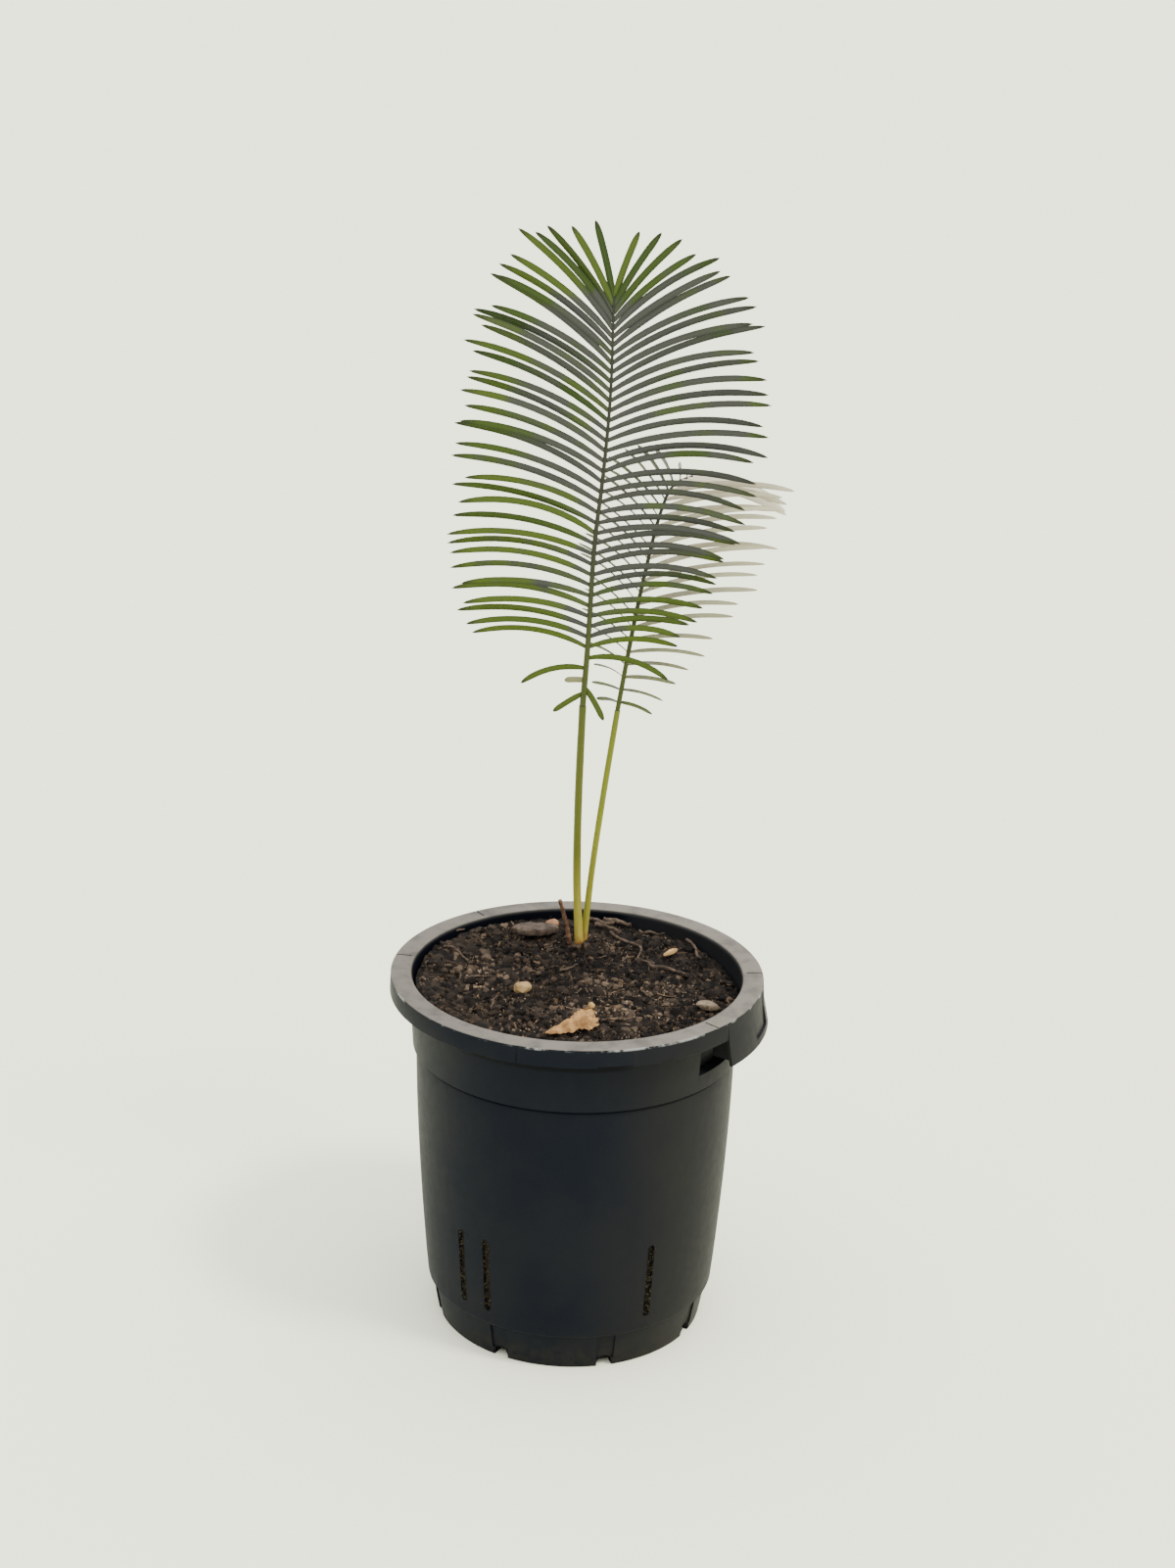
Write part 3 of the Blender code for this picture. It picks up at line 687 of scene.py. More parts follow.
def turned(name: str, outline: Outline, steps: int) -> Object:
    """Turns an outline that starts and ends on the Z axis into a closed solid.

    Args:
        name: The object's name.
        outline: (radius, height) points.
        steps: Steps in a full turn.

    Returns:
        The object.
    """
    bm = bmesh.new()
    turns = [step * tau / steps for step in range(steps)]
    rings = [[bm.verts.new((radius * cos(turn), radius * sin(turn), height))
              for turn in (turns if radius else turns[:1])] for radius, height in outline]
    for low, high in zip(rings, rings[1:]):
        for step in range(steps):
            after = (step + 1) % steps
            if len(low) == 1:
                bm.faces.new((low[0], high[after], high[step]))
            elif len(high) == 1:
                bm.faces.new((low[step], low[after], high[0]))
            else:
                bm.faces.new((low[step], low[after], high[after], high[step]))
    bmesh.ops.recalc_face_normals(bm, faces=bm.faces)
    return mesh_object(name, bm)


def sector(name: str, outline: Outline, centre: float, half_angle: float, steps: int
           ) -> Object:
    """Sweeps a closed outline through an angle about Z.

    Args:
        name: The object's name.
        outline: (radius, height) points.
        centre: The azimuth of its middle.
        half_angle: The angle to each end.
        steps: Steps in the sweep.

    Returns:
        The object.
    """
    turns = [centre + half_angle * (2 * step / steps - 1) for step in range(steps + 1)]
    return skinned(name, [[(r * cos(turn), r * sin(turn), z) for r, z in outline]
                          for turn in turns])


def radial_bar(name: str, azimuth: float, radii: tuple[float, float], width: float,
               heights: tuple[float, float], round_ends: bool = False) -> Object:
    """Makes a bar that points out from the Z axis.

    Args:
        name: The object's name.
        azimuth: Its direction.
        radii: Where it starts and ends.
        width: Its width across.
        heights: Its lower and upper limits.
        round_ends: Whether its top and bottom are half round.

    Returns:
        The object.
    """
    half = width / 2
    low, high = heights
    if round_ends:
        arc = [pi * step / 8 for step in range(9)]
        outline = [(half * cos(a), high - half + half * sin(a)) for a in arc]
        outline += [(-half * cos(a), low + half - half * sin(a)) for a in arc]
    else:
        outline = [(half, low), (half, high), (-half, high), (-half, low)]
    bar = skinned(name, [[(radius, y, z) for y, z in outline] for radius in radii])
    bar.data.transform(Matrix.Rotation(azimuth, 4, "Z"))
    return bar


def merged(obj: Object, operation: str, tools: Sequence[Object]) -> Object:
    """Joins helper solids to an object, or cuts them from it, and removes them.

    Args:
        obj: The object.
        operation: UNION or DIFFERENCE.
        tools: The helper solids.

    Returns:
        The object with its new shape.
    """
    collection = bpy.data.collections.new("tools")
    for tool in tools:
        collection.objects.link(tool)
    modifier = obj.modifiers.new("Join", "BOOLEAN")
    modifier.operation = operation
    modifier.operand_type = "COLLECTION"
    modifier.collection = collection
    modifier.solver = "EXACT"
    frozen(obj)
    dropped(*tools)
    bpy.data.collections.remove(collection)
    return obj


def smooth_line(points: Sequence[Point], count: int) -> list[Vector]:
    """Points on a Catmull-Rom curve through the given points.

    Args:
        points: What the curve runs through.
        count: How many points to return.

    Returns:
        The points.
    """
    given = [Vector(p) for p in points]
    ends = [2 * given[0] - given[1], *given, 2 * given[-1] - given[-2]]
    spans = len(given) - 1
    line = []
    for index in range(count):
        place = index * spans / (count - 1)
        span = min(int(place), spans - 1)
        t = place - span
        a, b, c, d = ends[span:span + 4]
        line.append(0.5 * (2 * b + (c - a) * t + (2 * a - 5 * b + 4 * c - d) * t ** 2
                           + (3 * b - a - 3 * c + d) * t ** 3))
    return line


def store(mesh: Mesh, name: str, values: Iterable[object], vectors: bool = False) -> None:
    """Stores an attribute on a mesh's points.

    Args:
        mesh: The mesh.
        name: The attribute's name.
        values: One value for each point.
        vectors: Whether the values are vectors.
    """
    attribute = mesh.attributes.new(name, "FLOAT_VECTOR" if vectors else "FLOAT", "POINT")
    flat = [number for value in values for number in value] if vectors else list(values)
    attribute.data.foreach_set("vector" if vectors else "value", flat)


class Grower:
    """A Geometry Nodes tree with named inputs, run on an object and frozen into its mesh."""

    def __init__(self, name: str, **inputs: str) -> None:
        """Starts the tree.

        Args:
            name: The tree's name.
            inputs: The kind of each input after the geometry. Underscores stand for spaces.
        """
        self.tree = bpy.data.node_groups.new(name, "GeometryNodeTree")
        face = self.tree.interface
        face.new_socket(name="Geometry", in_out="INPUT", socket_type="NodeSocketGeometry")
        self.sockets = {
            label: face.new_socket(name=label.replace("_", " "), in_out="INPUT",
                                   socket_type=f"NodeSocket{kind}").identifier
            for label, kind in inputs.items()
        }
        face.new_socket(name="Geometry", in_out="OUTPUT", socket_type="NodeSocketGeometry")
        self.wiring = Wiring(self.tree)
        self.given = self.wiring.add("NodeGroupInput").outputs
        self.out = self.wiring.add("NodeGroupOutput").inputs[0]

    def limb(self, chain: NodeSocket) -> NodeSocket:
        """Turns a chain of edges with a girth into a round limb with closed ends.

        Args:
            chain: The chain. The tree's input Sides says how many sides the limb has.

        Returns:
            The limb.
        """
        wiring = self.wiring
        ring = wiring.via("GeometryNodeCurvePrimitiveCircle", self.given["Sides"], 1.0)
        curve = wiring.via("GeometryNodeMeshToCurve", chain)
        return wiring.via("GeometryNodeCurveToMesh", curve, ring, wiring.field("girth"), True)

    def clad(self, geometry: NodeSocket, material: str) -> NodeSocket:
        """Makes a geometry real and gives it the material of one of the tree's inputs."""
        real = self.wiring.via("GeometryNodeRealizeInstances", geometry)
        return self.wiring.via("GeometryNodeSetMaterial", real, None, self.given[material])

    def grow(self, obj: Object, **values: object) -> Object:
        """Runs the tree on an object and keeps the result as its plain mesh.

        Args:
            obj: The object.
            values: The tree's inputs. Underscores stand for spaces.

        Returns:
            The object.
        """
        modifier = obj.modifiers.new(self.tree.name, "NODES")
        modifier.node_group = self.tree
        for name, value in values.items():
            modifier[self.sockets[name]] = value
        return frozen(obj)


# ---------------- pot


class Grip(Enum):
    """The two hand grips, by the azimuth of their middle."""

    RIGHT = radians(-20.5)
    LEFT = radians(148.5)


@dataclass
class NurseryPot:
    """The thin moulded pot with its rim, skirt, collar, wall, foot band and hand grips."""

    height: float = 0.249
    plastic: float = 0.0022
    rim_radius: float = 0.125
    rim_mouth: float = 0.1114
    rim_thickness: float = 0.0024
    skirt_drop: float = 0.0125
    skirt_flare: float = 0.0005
    collar_radius: float = 0.1125
    collar_drop: float = 0.051
    collar_taper: float = 0.0025
    wall_radius: float = 0.1076
    wall_foot_radius: float = 0.0985
    wall_rounding: float = 1.7
    band_height: float = 0.026
    band_radius: float = 0.096
    foot_radius: float = 0.0912
    foot_corner: float = 0.0015
    floor: float = 0.003
    steps: int = 216
    grip_half_angle: float = radians(17.5)
    recess_half_angle: float = radians(22.5)
    grip_drop: float = 0.030
    grip_flare: float = 0.0035
    recess_depth: float = 0.0012
    pocket_depth: float = 0.0085
    pocket_foot: float = 0.2098
    pocket_top: float = 0.2330
    cheek_inset: float = radians(2.6)
    facet: tuple[float, float] = (radians(-15.2), radians(6.3))
    cheek: float = 0.002
    drains: int = 8
    drain_first: float = radians(-119)
    drain_width: float = 0.0125
    slots: tuple[float, ...] = (-134.5, -122.5, -58.5, 45.5, 57.5, 121.5)
    slot_heights: tuple[float, float] = (0.037, 0.092)
    slot_width: float = 0.005
    nicks: tuple[tuple[float, float, float], ...] = (
        (-119.0, 0.011, 0.0007), (-98.0, 0.006, 0.0005), (-78.0, 0.023, 0.0012),
        (-62.0, 0.007, 0.0010), (88.0, 0.012, 0.0008))
    shade_groove: float = 0.0011
    finish: MouldedPlastic = field(default_factory=MouldedPlastic)

    def wall_at(self, height: float) -> float:
        """Works out the wall's outer radius.

        Args:
            height: Where it is measured.

        Returns:
            The radius.
        """
        top = self.height - self.collar_drop - 0.001
        share = max(0.0, (height - self.band_height) / (top - self.band_height))
        return (self.wall_radius
                - (self.wall_radius - self.wall_foot_radius) * (1 - share) ** self.wall_rounding)

    def collar_at(self, height: float) -> float:
        """Gives the collar's outer radius at a height."""
        return self.collar_radius - self.collar_taper * (self.height - height) / self.collar_drop

    def outline(self) -> Outline:
        """Draws the pot's section, up the inside, over the rim and down the outside.

        Returns:
            Its (radius, height) points.
        """
        top, band, thin = self.height, self.band_height, self.plastic
        step, flange = top - self.collar_drop, top - self.rim_thickness
        rim, brink = self.rim_radius, self.rim_radius + self.skirt_flare
        collar, ledge = self.collar_radius, self.collar_radius - self.collar_taper
        wall, foot = self.wall_radius, self.wall_foot_radius
        groove = wall - self.shade_groove
        heights = [0.185 - 0.013 * index for index in range(12)]
        side = [(self.wall_at(height), height) for height in heights]
        inside = [
            (self.foot_radius - thin, self.floor), (self.band_radius - thin, band + 0.001),
            (foot - thin, band + 0.002),
            *[(radius - thin, height) for radius, height in reversed(side)],
            (wall - thin, step), (ledge - thin, step + 0.002), (collar - thin, flange),
            (self.rim_mouth, top),
        ]
        over = [
            (rim, top), (brink, top - self.skirt_drop), (brink - 0.0018, top - self.skirt_drop),
            (rim - 0.0020, flange), (collar, flange),
        ]
        outside = [
            (ledge, step), (groove, step - 0.0002), (groove, step - 0.0014),
            (wall, step - 0.0024), *side, (foot, band + 0.001), (self.band_radius, band),
            (self.foot_radius + 0.0002, 0.0),
        ]
        return rounded([(0.0, self.floor), *inside, *over, *outside, (0.0, 0.0)], 0.0009)

    def grip_pieces(self, grip: Grip) -> list[Object]:
        """Makes the deep flared skirt of one grip and the cheek at each of its ends.

        Args:
            grip: Which grip.

        Returns:
            The solids to join to the pot.
        """
        top = self.height - 0.0011
        foot = self.height - self.skirt_drop
        bottom = self.height - self.grip_drop
        outer = self.rim_radius + self.skirt_flare + 0.0004
        flap = rounded([
            (outer - 0.0016, top), (outer - 0.0009, top), (outer, foot),
            (outer + self.grip_flare, bottom), (outer + self.grip_flare - 0.0022, bottom),
            (outer - 0.0026, foot), (outer - 0.0030, top), (outer - 0.0016, top),
        ], 0.0007, 2)[:-1]
        pieces = [sector("flap", flap, grip.value, self.grip_half_angle, 36)]
        cheek_half = self.cheek / self.rim_radius / 2
        for side in (-1, 1):
            cheek = [
                (self.collar_radius - 0.0016, top),
                (self.collar_radius - 0.0026, bottom + 0.0005),
                (outer + self.grip_flare - 0.0012, bottom + 0.0005),
                (outer - 0.0010, foot), (outer - 0.0016, top),
            ]
            middle = grip.value + side * (self.grip_half_angle - cheek_half - self.cheek_inset)
            pieces.append(sector("cheek", cheek, middle, cheek_half, 2))
        return pieces

    def grip_recess(self, grip: Grip) -> Object:
        """Makes the cutter for the finger recess behind one grip.

        Args:
            grip: Which grip.

        Returns:
            The cutter, with the pocket below the recess.
        """
        bottom, brow = self.pocket_foot, self.pocket_top
        top = self.height - self.rim_thickness - 0.0008
        deep = self.collar_at(bottom) - self.pocket_depth
        outline = [
            (deep, bottom), (self.collar_at(bottom) + 0.001, bottom),
            (self.collar_radius + 0.001, top), (self.collar_radius - self.recess_depth, top),
            (self.collar_at(brow) - self.recess_depth, brow), (deep, brow - 0.002),
        ]
        return sector("recess", outline, grip.value, self.recess_half_angle, 40)

    def grip_pocket(self, grip: Grip, grown: float = 0.0) -> Object:
        """Makes the solid that one grip's pocket is cut in.

        Args:
            grip: Which grip.
            grown: How much larger than the pocket's walls it is.

        Returns:
            The solid.
        """
        bottom, top = self.pocket_foot - 0.0012 - grown, self.pocket_top + 0.0010 + grown
        deep = self.collar_at(bottom) - self.pocket_depth - 0.0012 - grown
        outline = [(deep, bottom), (self.collar_at(bottom) - 0.0010 + 5 * grown, bottom),
                   (self.collar_at(top) - 0.0010 + 5 * grown, top), (deep, top - 0.002)]
        half = self.recess_half_angle + 0.012 + 10 * grown
        return sector("pocket", outline, grip.value, half, 40)

    def facet_cutters(self) -> list[Object]:
        """Marks the right grip's skirt.

        Returns:
            The cutters for its flat panel and its slit.
        """
        outer = self.rim_radius + self.skirt_flare + self.grip_flare
        low, high = self.height - self.grip_drop + 0.0045, self.height - 0.0030
        middle, half = self.facet
        panel = [(outer - 0.0020, low), (outer + 0.004, low), (outer + 0.004, high),
                 (self.rim_radius - 0.0002, high), (self.rim_radius + 0.0002, high - 0.008)]
        return [sector("panel", panel, middle, half, 14),
                radial_bar("slit", middle + half + 0.012, (outer - 0.005, outer + 0.004),
                           0.0013, (low, low + 0.012), True)]

    def foot_cutters(self) -> list[Object]:
        """Opens the foot of the pot.

        Returns:
            The cutters for drain holes, flutes and breathing slots.
        """
        slope = ((self.band_radius - self.foot_radius)
                 / (self.band_height - self.foot_corner))
        low, high = 0.006, self.band_height - 0.0015
        low_radius = self.foot_radius + slope * (low - self.foot_corner)
        high_radius = self.foot_radius + slope * (high - self.foot_corner)
        flute = [(low_radius - 0.001, low), (low_radius + 0.003, low),
                 (high_radius + 0.003, high), (high_radius - 0.001, high)]
        tools = []
        for number in range(self.drains):
            azimuth = self.drain_first + number * tau / self.drains
            half = self.drain_width / self.band_radius / 2
            tools.append(sector("flute", flute, azimuth, half, 6))
            width = self.drain_width * 0.9
            tools.append(radial_bar("drain", azimuth, (0.080, 0.100), width,
                                    (0.0022 - width / 2, 0.0022 + width / 2), True))
        for degrees in self.slots:
            tools.append(radial_bar("slot", radians(degrees), (0.090, 0.110),
                                    self.slot_width, self.slot_heights, True))
        return tools

    def rim_marks(self) -> list[Object]:
        """Marks the rim.

        Returns:
            The cutters for its fine grooves and for the nicks along its skirt.
        """
        low = self.height - self.skirt_drop
        tools = [radial_bar("nick", radians(azimuth), (0.1205, 0.1285), width,
                            (low - 0.001, low + rise))
                 for azimuth, width, rise in self.nicks]
        tools.append(radial_bar("seam", radians(-107), (0.1249, 0.128), 0.0007,
                                (low - 0.001, self.height - 0.0012)))
        for grip in Grip:
            for side in (-1, 1):
                tools.append(radial_bar(
                    "groove", grip.value + side * self.recess_half_angle,
                    (self.rim_mouth + 0.0025, self.rim_radius + 0.002), 0.0010,
                    (self.height - 0.0007, self.height + 0.001)))
        return tools

    def build(self) -> None:
        pot = turned("pot_shell", self.outline(), self.steps)
        merged(pot, "UNION", [self.grip_pocket(grip) for grip in Grip])
        merged(pot, "DIFFERENCE", [self.grip_recess(grip) for grip in Grip])
        merged(pot, "UNION", [piece for grip in Grip for piece in self.grip_pieces(grip)])
        merged(pot, "DIFFERENCE",
               self.foot_cutters() + self.rim_marks() + self.facet_cutters())
        dressed(pot, self.finish.build(), "pot_plastic", "pot", sharp=30.0)


# ---------------- soil


@dataclass
class PottingMix:
    """The filling of the pot: a lumpy bed under crumbs, chips, pale grains and fibres."""

    top: float = 0.237
    radius: float = 0.1082
    swell: float = 0.0011
    crown: tuple[float, float] = (0.0010, 0.0660)
    crown_clear: float = 0.016
    bank_azimuth: float = radians(145)
    bank_start: float = 0.070
    bank_reach: float = 0.030
    bank_rise: float = 0.0034
    bank_sway: float = 0.0044
    twigs: tuple[tuple[float, float, float, float, float], ...] = (
        (0.0370, 0.0630, -57.0, 0.056, 0.0009), (0.0620, 0.0300, -38.0, 0.030, 0.0012),
        (0.0515, 0.0900, -8.0, 0.018, 0.0008), (0.0140, 0.0985, -10.0, 0.022, 0.0015),
        (0.0270, 0.1000, -6.0, 0.020, 0.0018), (0.0200, 0.0920, -24.0, 0.017, 0.0013),
        (-0.0830, 0.0390, -35.0, 0.020, 0.0009), (-0.0890, 0.0660, 54.0, 0.024, 0.0008),
        (0.0800, 0.0640, -62.0, 0.028, 0.0011), (-0.0540, -0.0300, 80.0, 0.018, 0.0007),
        (0.0240, -0.0520, 15.0, 0.014, 0.0008), (-0.0680, 0.0080, 20.0, 0.017, 0.0010),
        (0.0450, -0.0050, -70.0, 0.016, 0.0008), (-0.0050, 0.0300, 38.0, 0.015, 0.0007))
    mound: float = 0.0036
    mound_reach: float = 0.014
    sink: float = 0.0014
    lumps: float = 0.0016
    cobbles: float = 0.0034
    grit: float = 0.0010
    cobbles_per_metre: float = 165.0
    edge_clear: float = 0.0026
    rings: int = 92
    steps: int = 264
    pot: NurseryPot = field(default_factory=NurseryPot)

    def level(self, x: float, y: float) -> float:
        """Works out the soil's long low swells.

        Args:
            x: Where, along X.
            y: Where, along Y.

        Returns:
            The height there.
        """
        swell = (sin(83 * x + 0.7) * cos(71 * y - 0.4)
                 + 0.6 * sin(131 * y + 47 * x + 1.9))
        away = hypot(x - self.crown[0], y - self.crown[1])
        share = min(1.0, max(0.0, (away - self.crown_clear) / self.crown_clear))
        return self.top + self.swell * swell * share

    def banked(self, x: float, y: float) -> float:
        """Gives how far the soil is banked up against the wall, most at the back left."""
        rise = min(1.0, max(0.0, (hypot(x, y) - self.bank_start) / self.bank_reach)) ** 1.5
        return rise * (self.bank_rise + self.bank_sway * cos(atan2(y, x) - self.bank_azimuth))

    def lumpy(self, x: float, y: float) -> float:
        """Works out the bed, with small lumps on the swells.

        Args:
            x: Where, along X.
            y: Where, along Y.

        Returns:
            The height there.
        """
        spot = Vector((x, y, 0.0))
        lumps = noise.fractal(spot * 190, 0.7, 2.1, 4)
        cobbles = 0.5 - noise.voronoi(spot * self.cobbles_per_metre)[0][0]
        grit = 0.5 - noise.voronoi(spot * 520)[0][0]
        away = hypot(x - self.crown[0], y - self.crown[1])
        mound = self.mound * exp(-(away / self.mound_reach) ** 2)
        chunks = self.lumps * lumps + self.cobbles * cobbles + self.grit * grit
        return self.level(x, y) - self.sink + chunks + self.banked(x, y) + mound

    def bed(self) -> Object:
        """Builds the closed filling with its lumpy top.

        Returns:
            The bed, whose points carry their tone.
        """
        pot = self.pot
        clear = pot.plastic + 0.0007
        step = pot.height - pot.collar_drop
        side = [
            (pot.collar_radius - pot.collar_taper - clear, step + 0.0025),
            (pot.wall_radius - clear, step),
            *[(pot.wall_at(h) - clear, h) for h in (0.172, 0.147, 0.12, 0.092, 0.062)],
            (pot.wall_foot_radius - clear, pot.band_height + 0.003),
            (pot.band_radius - clear, pot.band_height + 0.0015),
            (pot.foot_radius - clear - 0.0006, pot.floor + 0.0003),
            (0.0, pot.floor + 0.0003),
        ]
        rings = [(self.radius * index / self.rings, self.top) for index in range(self.rings + 1)]
        bed = turned("soil_bed", rings + side, self.steps)
        for vertex in bed.data.vertices:
            if vertex.co.z > self.top - 0.0005:
                vertex.co.z = self.lumpy(vertex.co.x, vertex.co.y)
        tones = []
        for vertex in bed.data.vertices:
            spot = Vector((vertex.co.x, vertex.co.y, 0.0))
            chunk = noise.cell(noise.voronoi(spot * self.cobbles_per_metre)[1][0] * 40)
            # Painted shade: the soil is darker towards the right (+X), where the pot's right wall
            # shades it.
            painted_wall_shade = 0.07 * min(1.0, max(0.0, (vertex.co.x - 0.02) / 0.06))
            # Painted shade: the soil is darker just in front of the crown.
            near = hypot(spot.x - self.crown[0], spot.y - self.crown[1] + 0.020)
            shade = 0.18 * exp(-(near / 0.026) ** 2)
            tones.append(0.25 + 0.24 * chunk + 0.18 * noise.noise(spot * 42) - painted_wall_shade - shade)
        store(bed.data, "tone", tones)
        return bed

    def surface(self, name: str) -> Object:
        """Makes the open sheet that scattered pieces lie on.

        Args:
            name: The name of what they make.

        Returns:
            The sheet.
        """
        bm = bmesh.new()
        bmesh.ops.create_circle(bm, cap_ends=True, cap_tris=True, segments=96,
                                radius=self.radius - self.edge_clear)
        bmesh.ops.subdivide_edges(bm, edges=bm.edges, cuts=3, use_grid_fill=True)
        for vertex in bm.verts:
            vertex.co.z = self.lumpy(vertex.co.x, vertex.co.y)
        return mesh_object(name, bm)

    @staticmethod
    def lump(name: str, seed: int, size: Point, corners: int) -> Object:
        """Makes an angular crumb as the hull of scattered points.

        Args:
            name: Its name.
            seed: Seed of its shape.
            size: Its half sizes.
            corners: Points in the hull.

        Returns:
            The crumb.
        """
        draw = random.Random(seed)
        bm = bmesh.new()
        for _ in range(corners):
            spot = Vector([draw.gauss(0.0, 1.0) for _ in range(3)]).normalized()
            spot *= draw.uniform(0.75, 1.0)
            bm.verts.new((spot.x * size[0], spot.y * size[1], spot.z * size[2]))
        hull = bmesh.ops.convex_hull(bm, input=bm.verts)
        loose = [item for item in hull["geom_interior"] if isinstance(item, bmesh.types.BMVert)]
        bmesh.ops.delete(bm, geom=loose, context="VERTS")
        return mesh_object(name, bm)

    @staticmethod
    def fibre(name: str, seed: int, length: float, girth: float) -> Object:
        """Makes a thin curled fibre with a three-sided section.

        Args:
            name: Its name.
            seed: Seed of its bends.
            length: Its length.
            girth: Its radius.

        Returns:
            The fibre.
        """
        draw = random.Random(seed)
        place, heading = Vector((-length / 2, 0, 0)), Vector((1.0, 0.0, 0.25))
        rings, count = [], 8
        for index in range(count):
            share = index / (count - 1)
            reach = girth * (1 - 0.75 * share)
            side = heading.cross(UP).normalized()
            over = side.cross(heading).normalized()
            rings.append([place + reach * (cos(a) * side + sin(a) * over)
                          for a in (0.0, 2.1, 4.2)])
            heading += Vector((0, draw.uniform(-0.5, 0.5), draw.uniform(-0.32, 0.18)))
            heading.normalize()
            place = place + heading * length / (count - 1)
        return skinned(name, rings)

    @staticmethod
    def scatter_tree() -> Grower:
        """Builds the tree that strews shapes over a surface.

        Returns:
            The tree. Its inputs Tilt and Front Share say how far a piece leans and how much
            sparser the pieces are at the back.
        """
        grower = Grower("Strewn pieces", Shapes="Collection", Density="Float", Seed="Int",
                        Smallest="Float", Largest="Float", Tilt="Float", Tone_Low="Float",
                        Tone_High="Float", Front_Share="Float", Material="Material")
        wiring, given = grower.wiring, grower.given

        def draw(low: object, high: object, number: int) -> NodeSocket:
            """Adds a seeded random value."""
            seed = wiring.math("ADD", given["Seed"], float(number))
            return wiring.via("FunctionNodeRandomValue", low, high, None, seed)

        spot = wiring.add("GeometryNodeInputPosition").outputs[0]
        x, y, _ = wiring.split(spot)
        behind = wiring.times(wiring.span(y, -0.035, 0.045), given["Front Share"])
        crowded = wiring.times(given["Density"], wiring.math("SUBTRACT", 1.0, behind))
        points = wiring.via("GeometryNodeDistributePointsOnFaces", given["Geometry"], None,
                            crowded, given["Seed"], distribute_method="RANDOM")
        # Painted shade: pieces are darker towards the right (+X), where the pot's right wall
        # shades them.
        painted_wall_shade = wiring.times(wiring.span(x, 0.030, 0.085), 0.10)
        # Painted shade: pieces just in front of the crown are darker.
        painted_crown_shade = wiring.span(wiring.vector("DISTANCE", spot, (0.000, 0.044, 0.237)),
                              0.032, 0.010, 0.0, 0.22)
        dried = wiring.span(wiring.vector("DISTANCE", spot, (0.036, -0.018, 0.237)),
                            0.050, 0.012, 0.0, 0.22)
        patch = wiring.math("MULTIPLY_ADD", wiring.noise(spot, 38.0, 3.0), 0.9, -0.45)
        tone = wiring.math("ADD", draw(given["Tone Low"], given["Tone High"], 11), patch)
        tone = wiring.math("ADD", wiring.math("SUBTRACT", tone, painted_wall_shade), dried)
        tone = wiring.math("SUBTRACT", tone, painted_crown_shade)
        points = wiring.via("GeometryNodeStoreNamedAttribute", points, None, "tone", tone)
        shapes = wiring.via("GeometryNodeCollectionInfo", given["Shapes"], True, True)
        back = wiring.times(given["Tilt"], -1.0)
        lean = wiring.via("ShaderNodeCombineXYZ", draw(back, given["Tilt"], 3),
                          draw(back, given["Tilt"], 4), draw(0.0, tau, 5))
        size = draw(given["Smallest"], given["Largest"], 7)
        strewn = wiring.via("GeometryNodeInstanceOnPoints", points, None, shapes, True, None,
                            lean, size)
        wiring.feed(grower.out, grower.clad(strewn, "Material"))
        return grower

    def strew(self, grower: Grower, name: str, shapes: list[Object], **values: object
              ) -> Object:
        """Strews shapes over the soil as one piece.

        Args:
            grower: The scatter tree.
            name: The piece's name.
            shapes: What is strewn. They are removed afterwards.
            values: The tree's other inputs.

        Returns:
            The piece.
        """
        collection = bpy.data.collections.new(name)
        for shape in shapes:
            collection.objects.link(shape)
        piece = grower.grow(self.surface(name), Shapes=collection, **values)
        dropped(*shapes)
        bpy.data.collections.remove(collection)
        return piece

    def crooked_twigs(self, limbs: Grower, finish: Material) -> Object:
        """Lays the few crooked twigs and old roots over the soil.

        Args:
            limbs: The tree that makes round limbs.
            finish: Their material.

        Returns:
            The twigs as one piece.
        """
        bm = bmesh.new()
        for number, (x, y, turn, length, radius) in enumerate(self.twigs):
            heading = Vector((cos(radians(turn)), sin(radians(turn)), 0.0))
            line = []
            for step in range(17):
                share = step / 16
                sway = length * noise.noise(Vector((share * 2.6, number * 7.3, 0.5)))
                spot = Vector((x, y, 0.0)) + heading * length * (share - 0.5)
                spot += 0.22 * sway * heading.cross(UP)
                bump = 0.0012 * noise.noise(Vector((share * 4.0, number * 3.1, 8.0)))
                spot.z = (self.level(spot.x, spot.y) + self.banked(spot.x, spot.y)
                          + radius + 0.0002 + bump)
                line.append(spot)
            radii = [radius * (1.1 - 0.4 * i / 16 + 0.25 * noise.noise(p * 400))
                     for i, p in enumerate(line)]
            twig = limbs.grow(path_object(f"twig_{number}", line, radii), Sides=9,
                              Material=finish)
            bm.from_mesh(twig.data)
            dropped(twig)
        return mesh_object("crooked_twigs", bm)

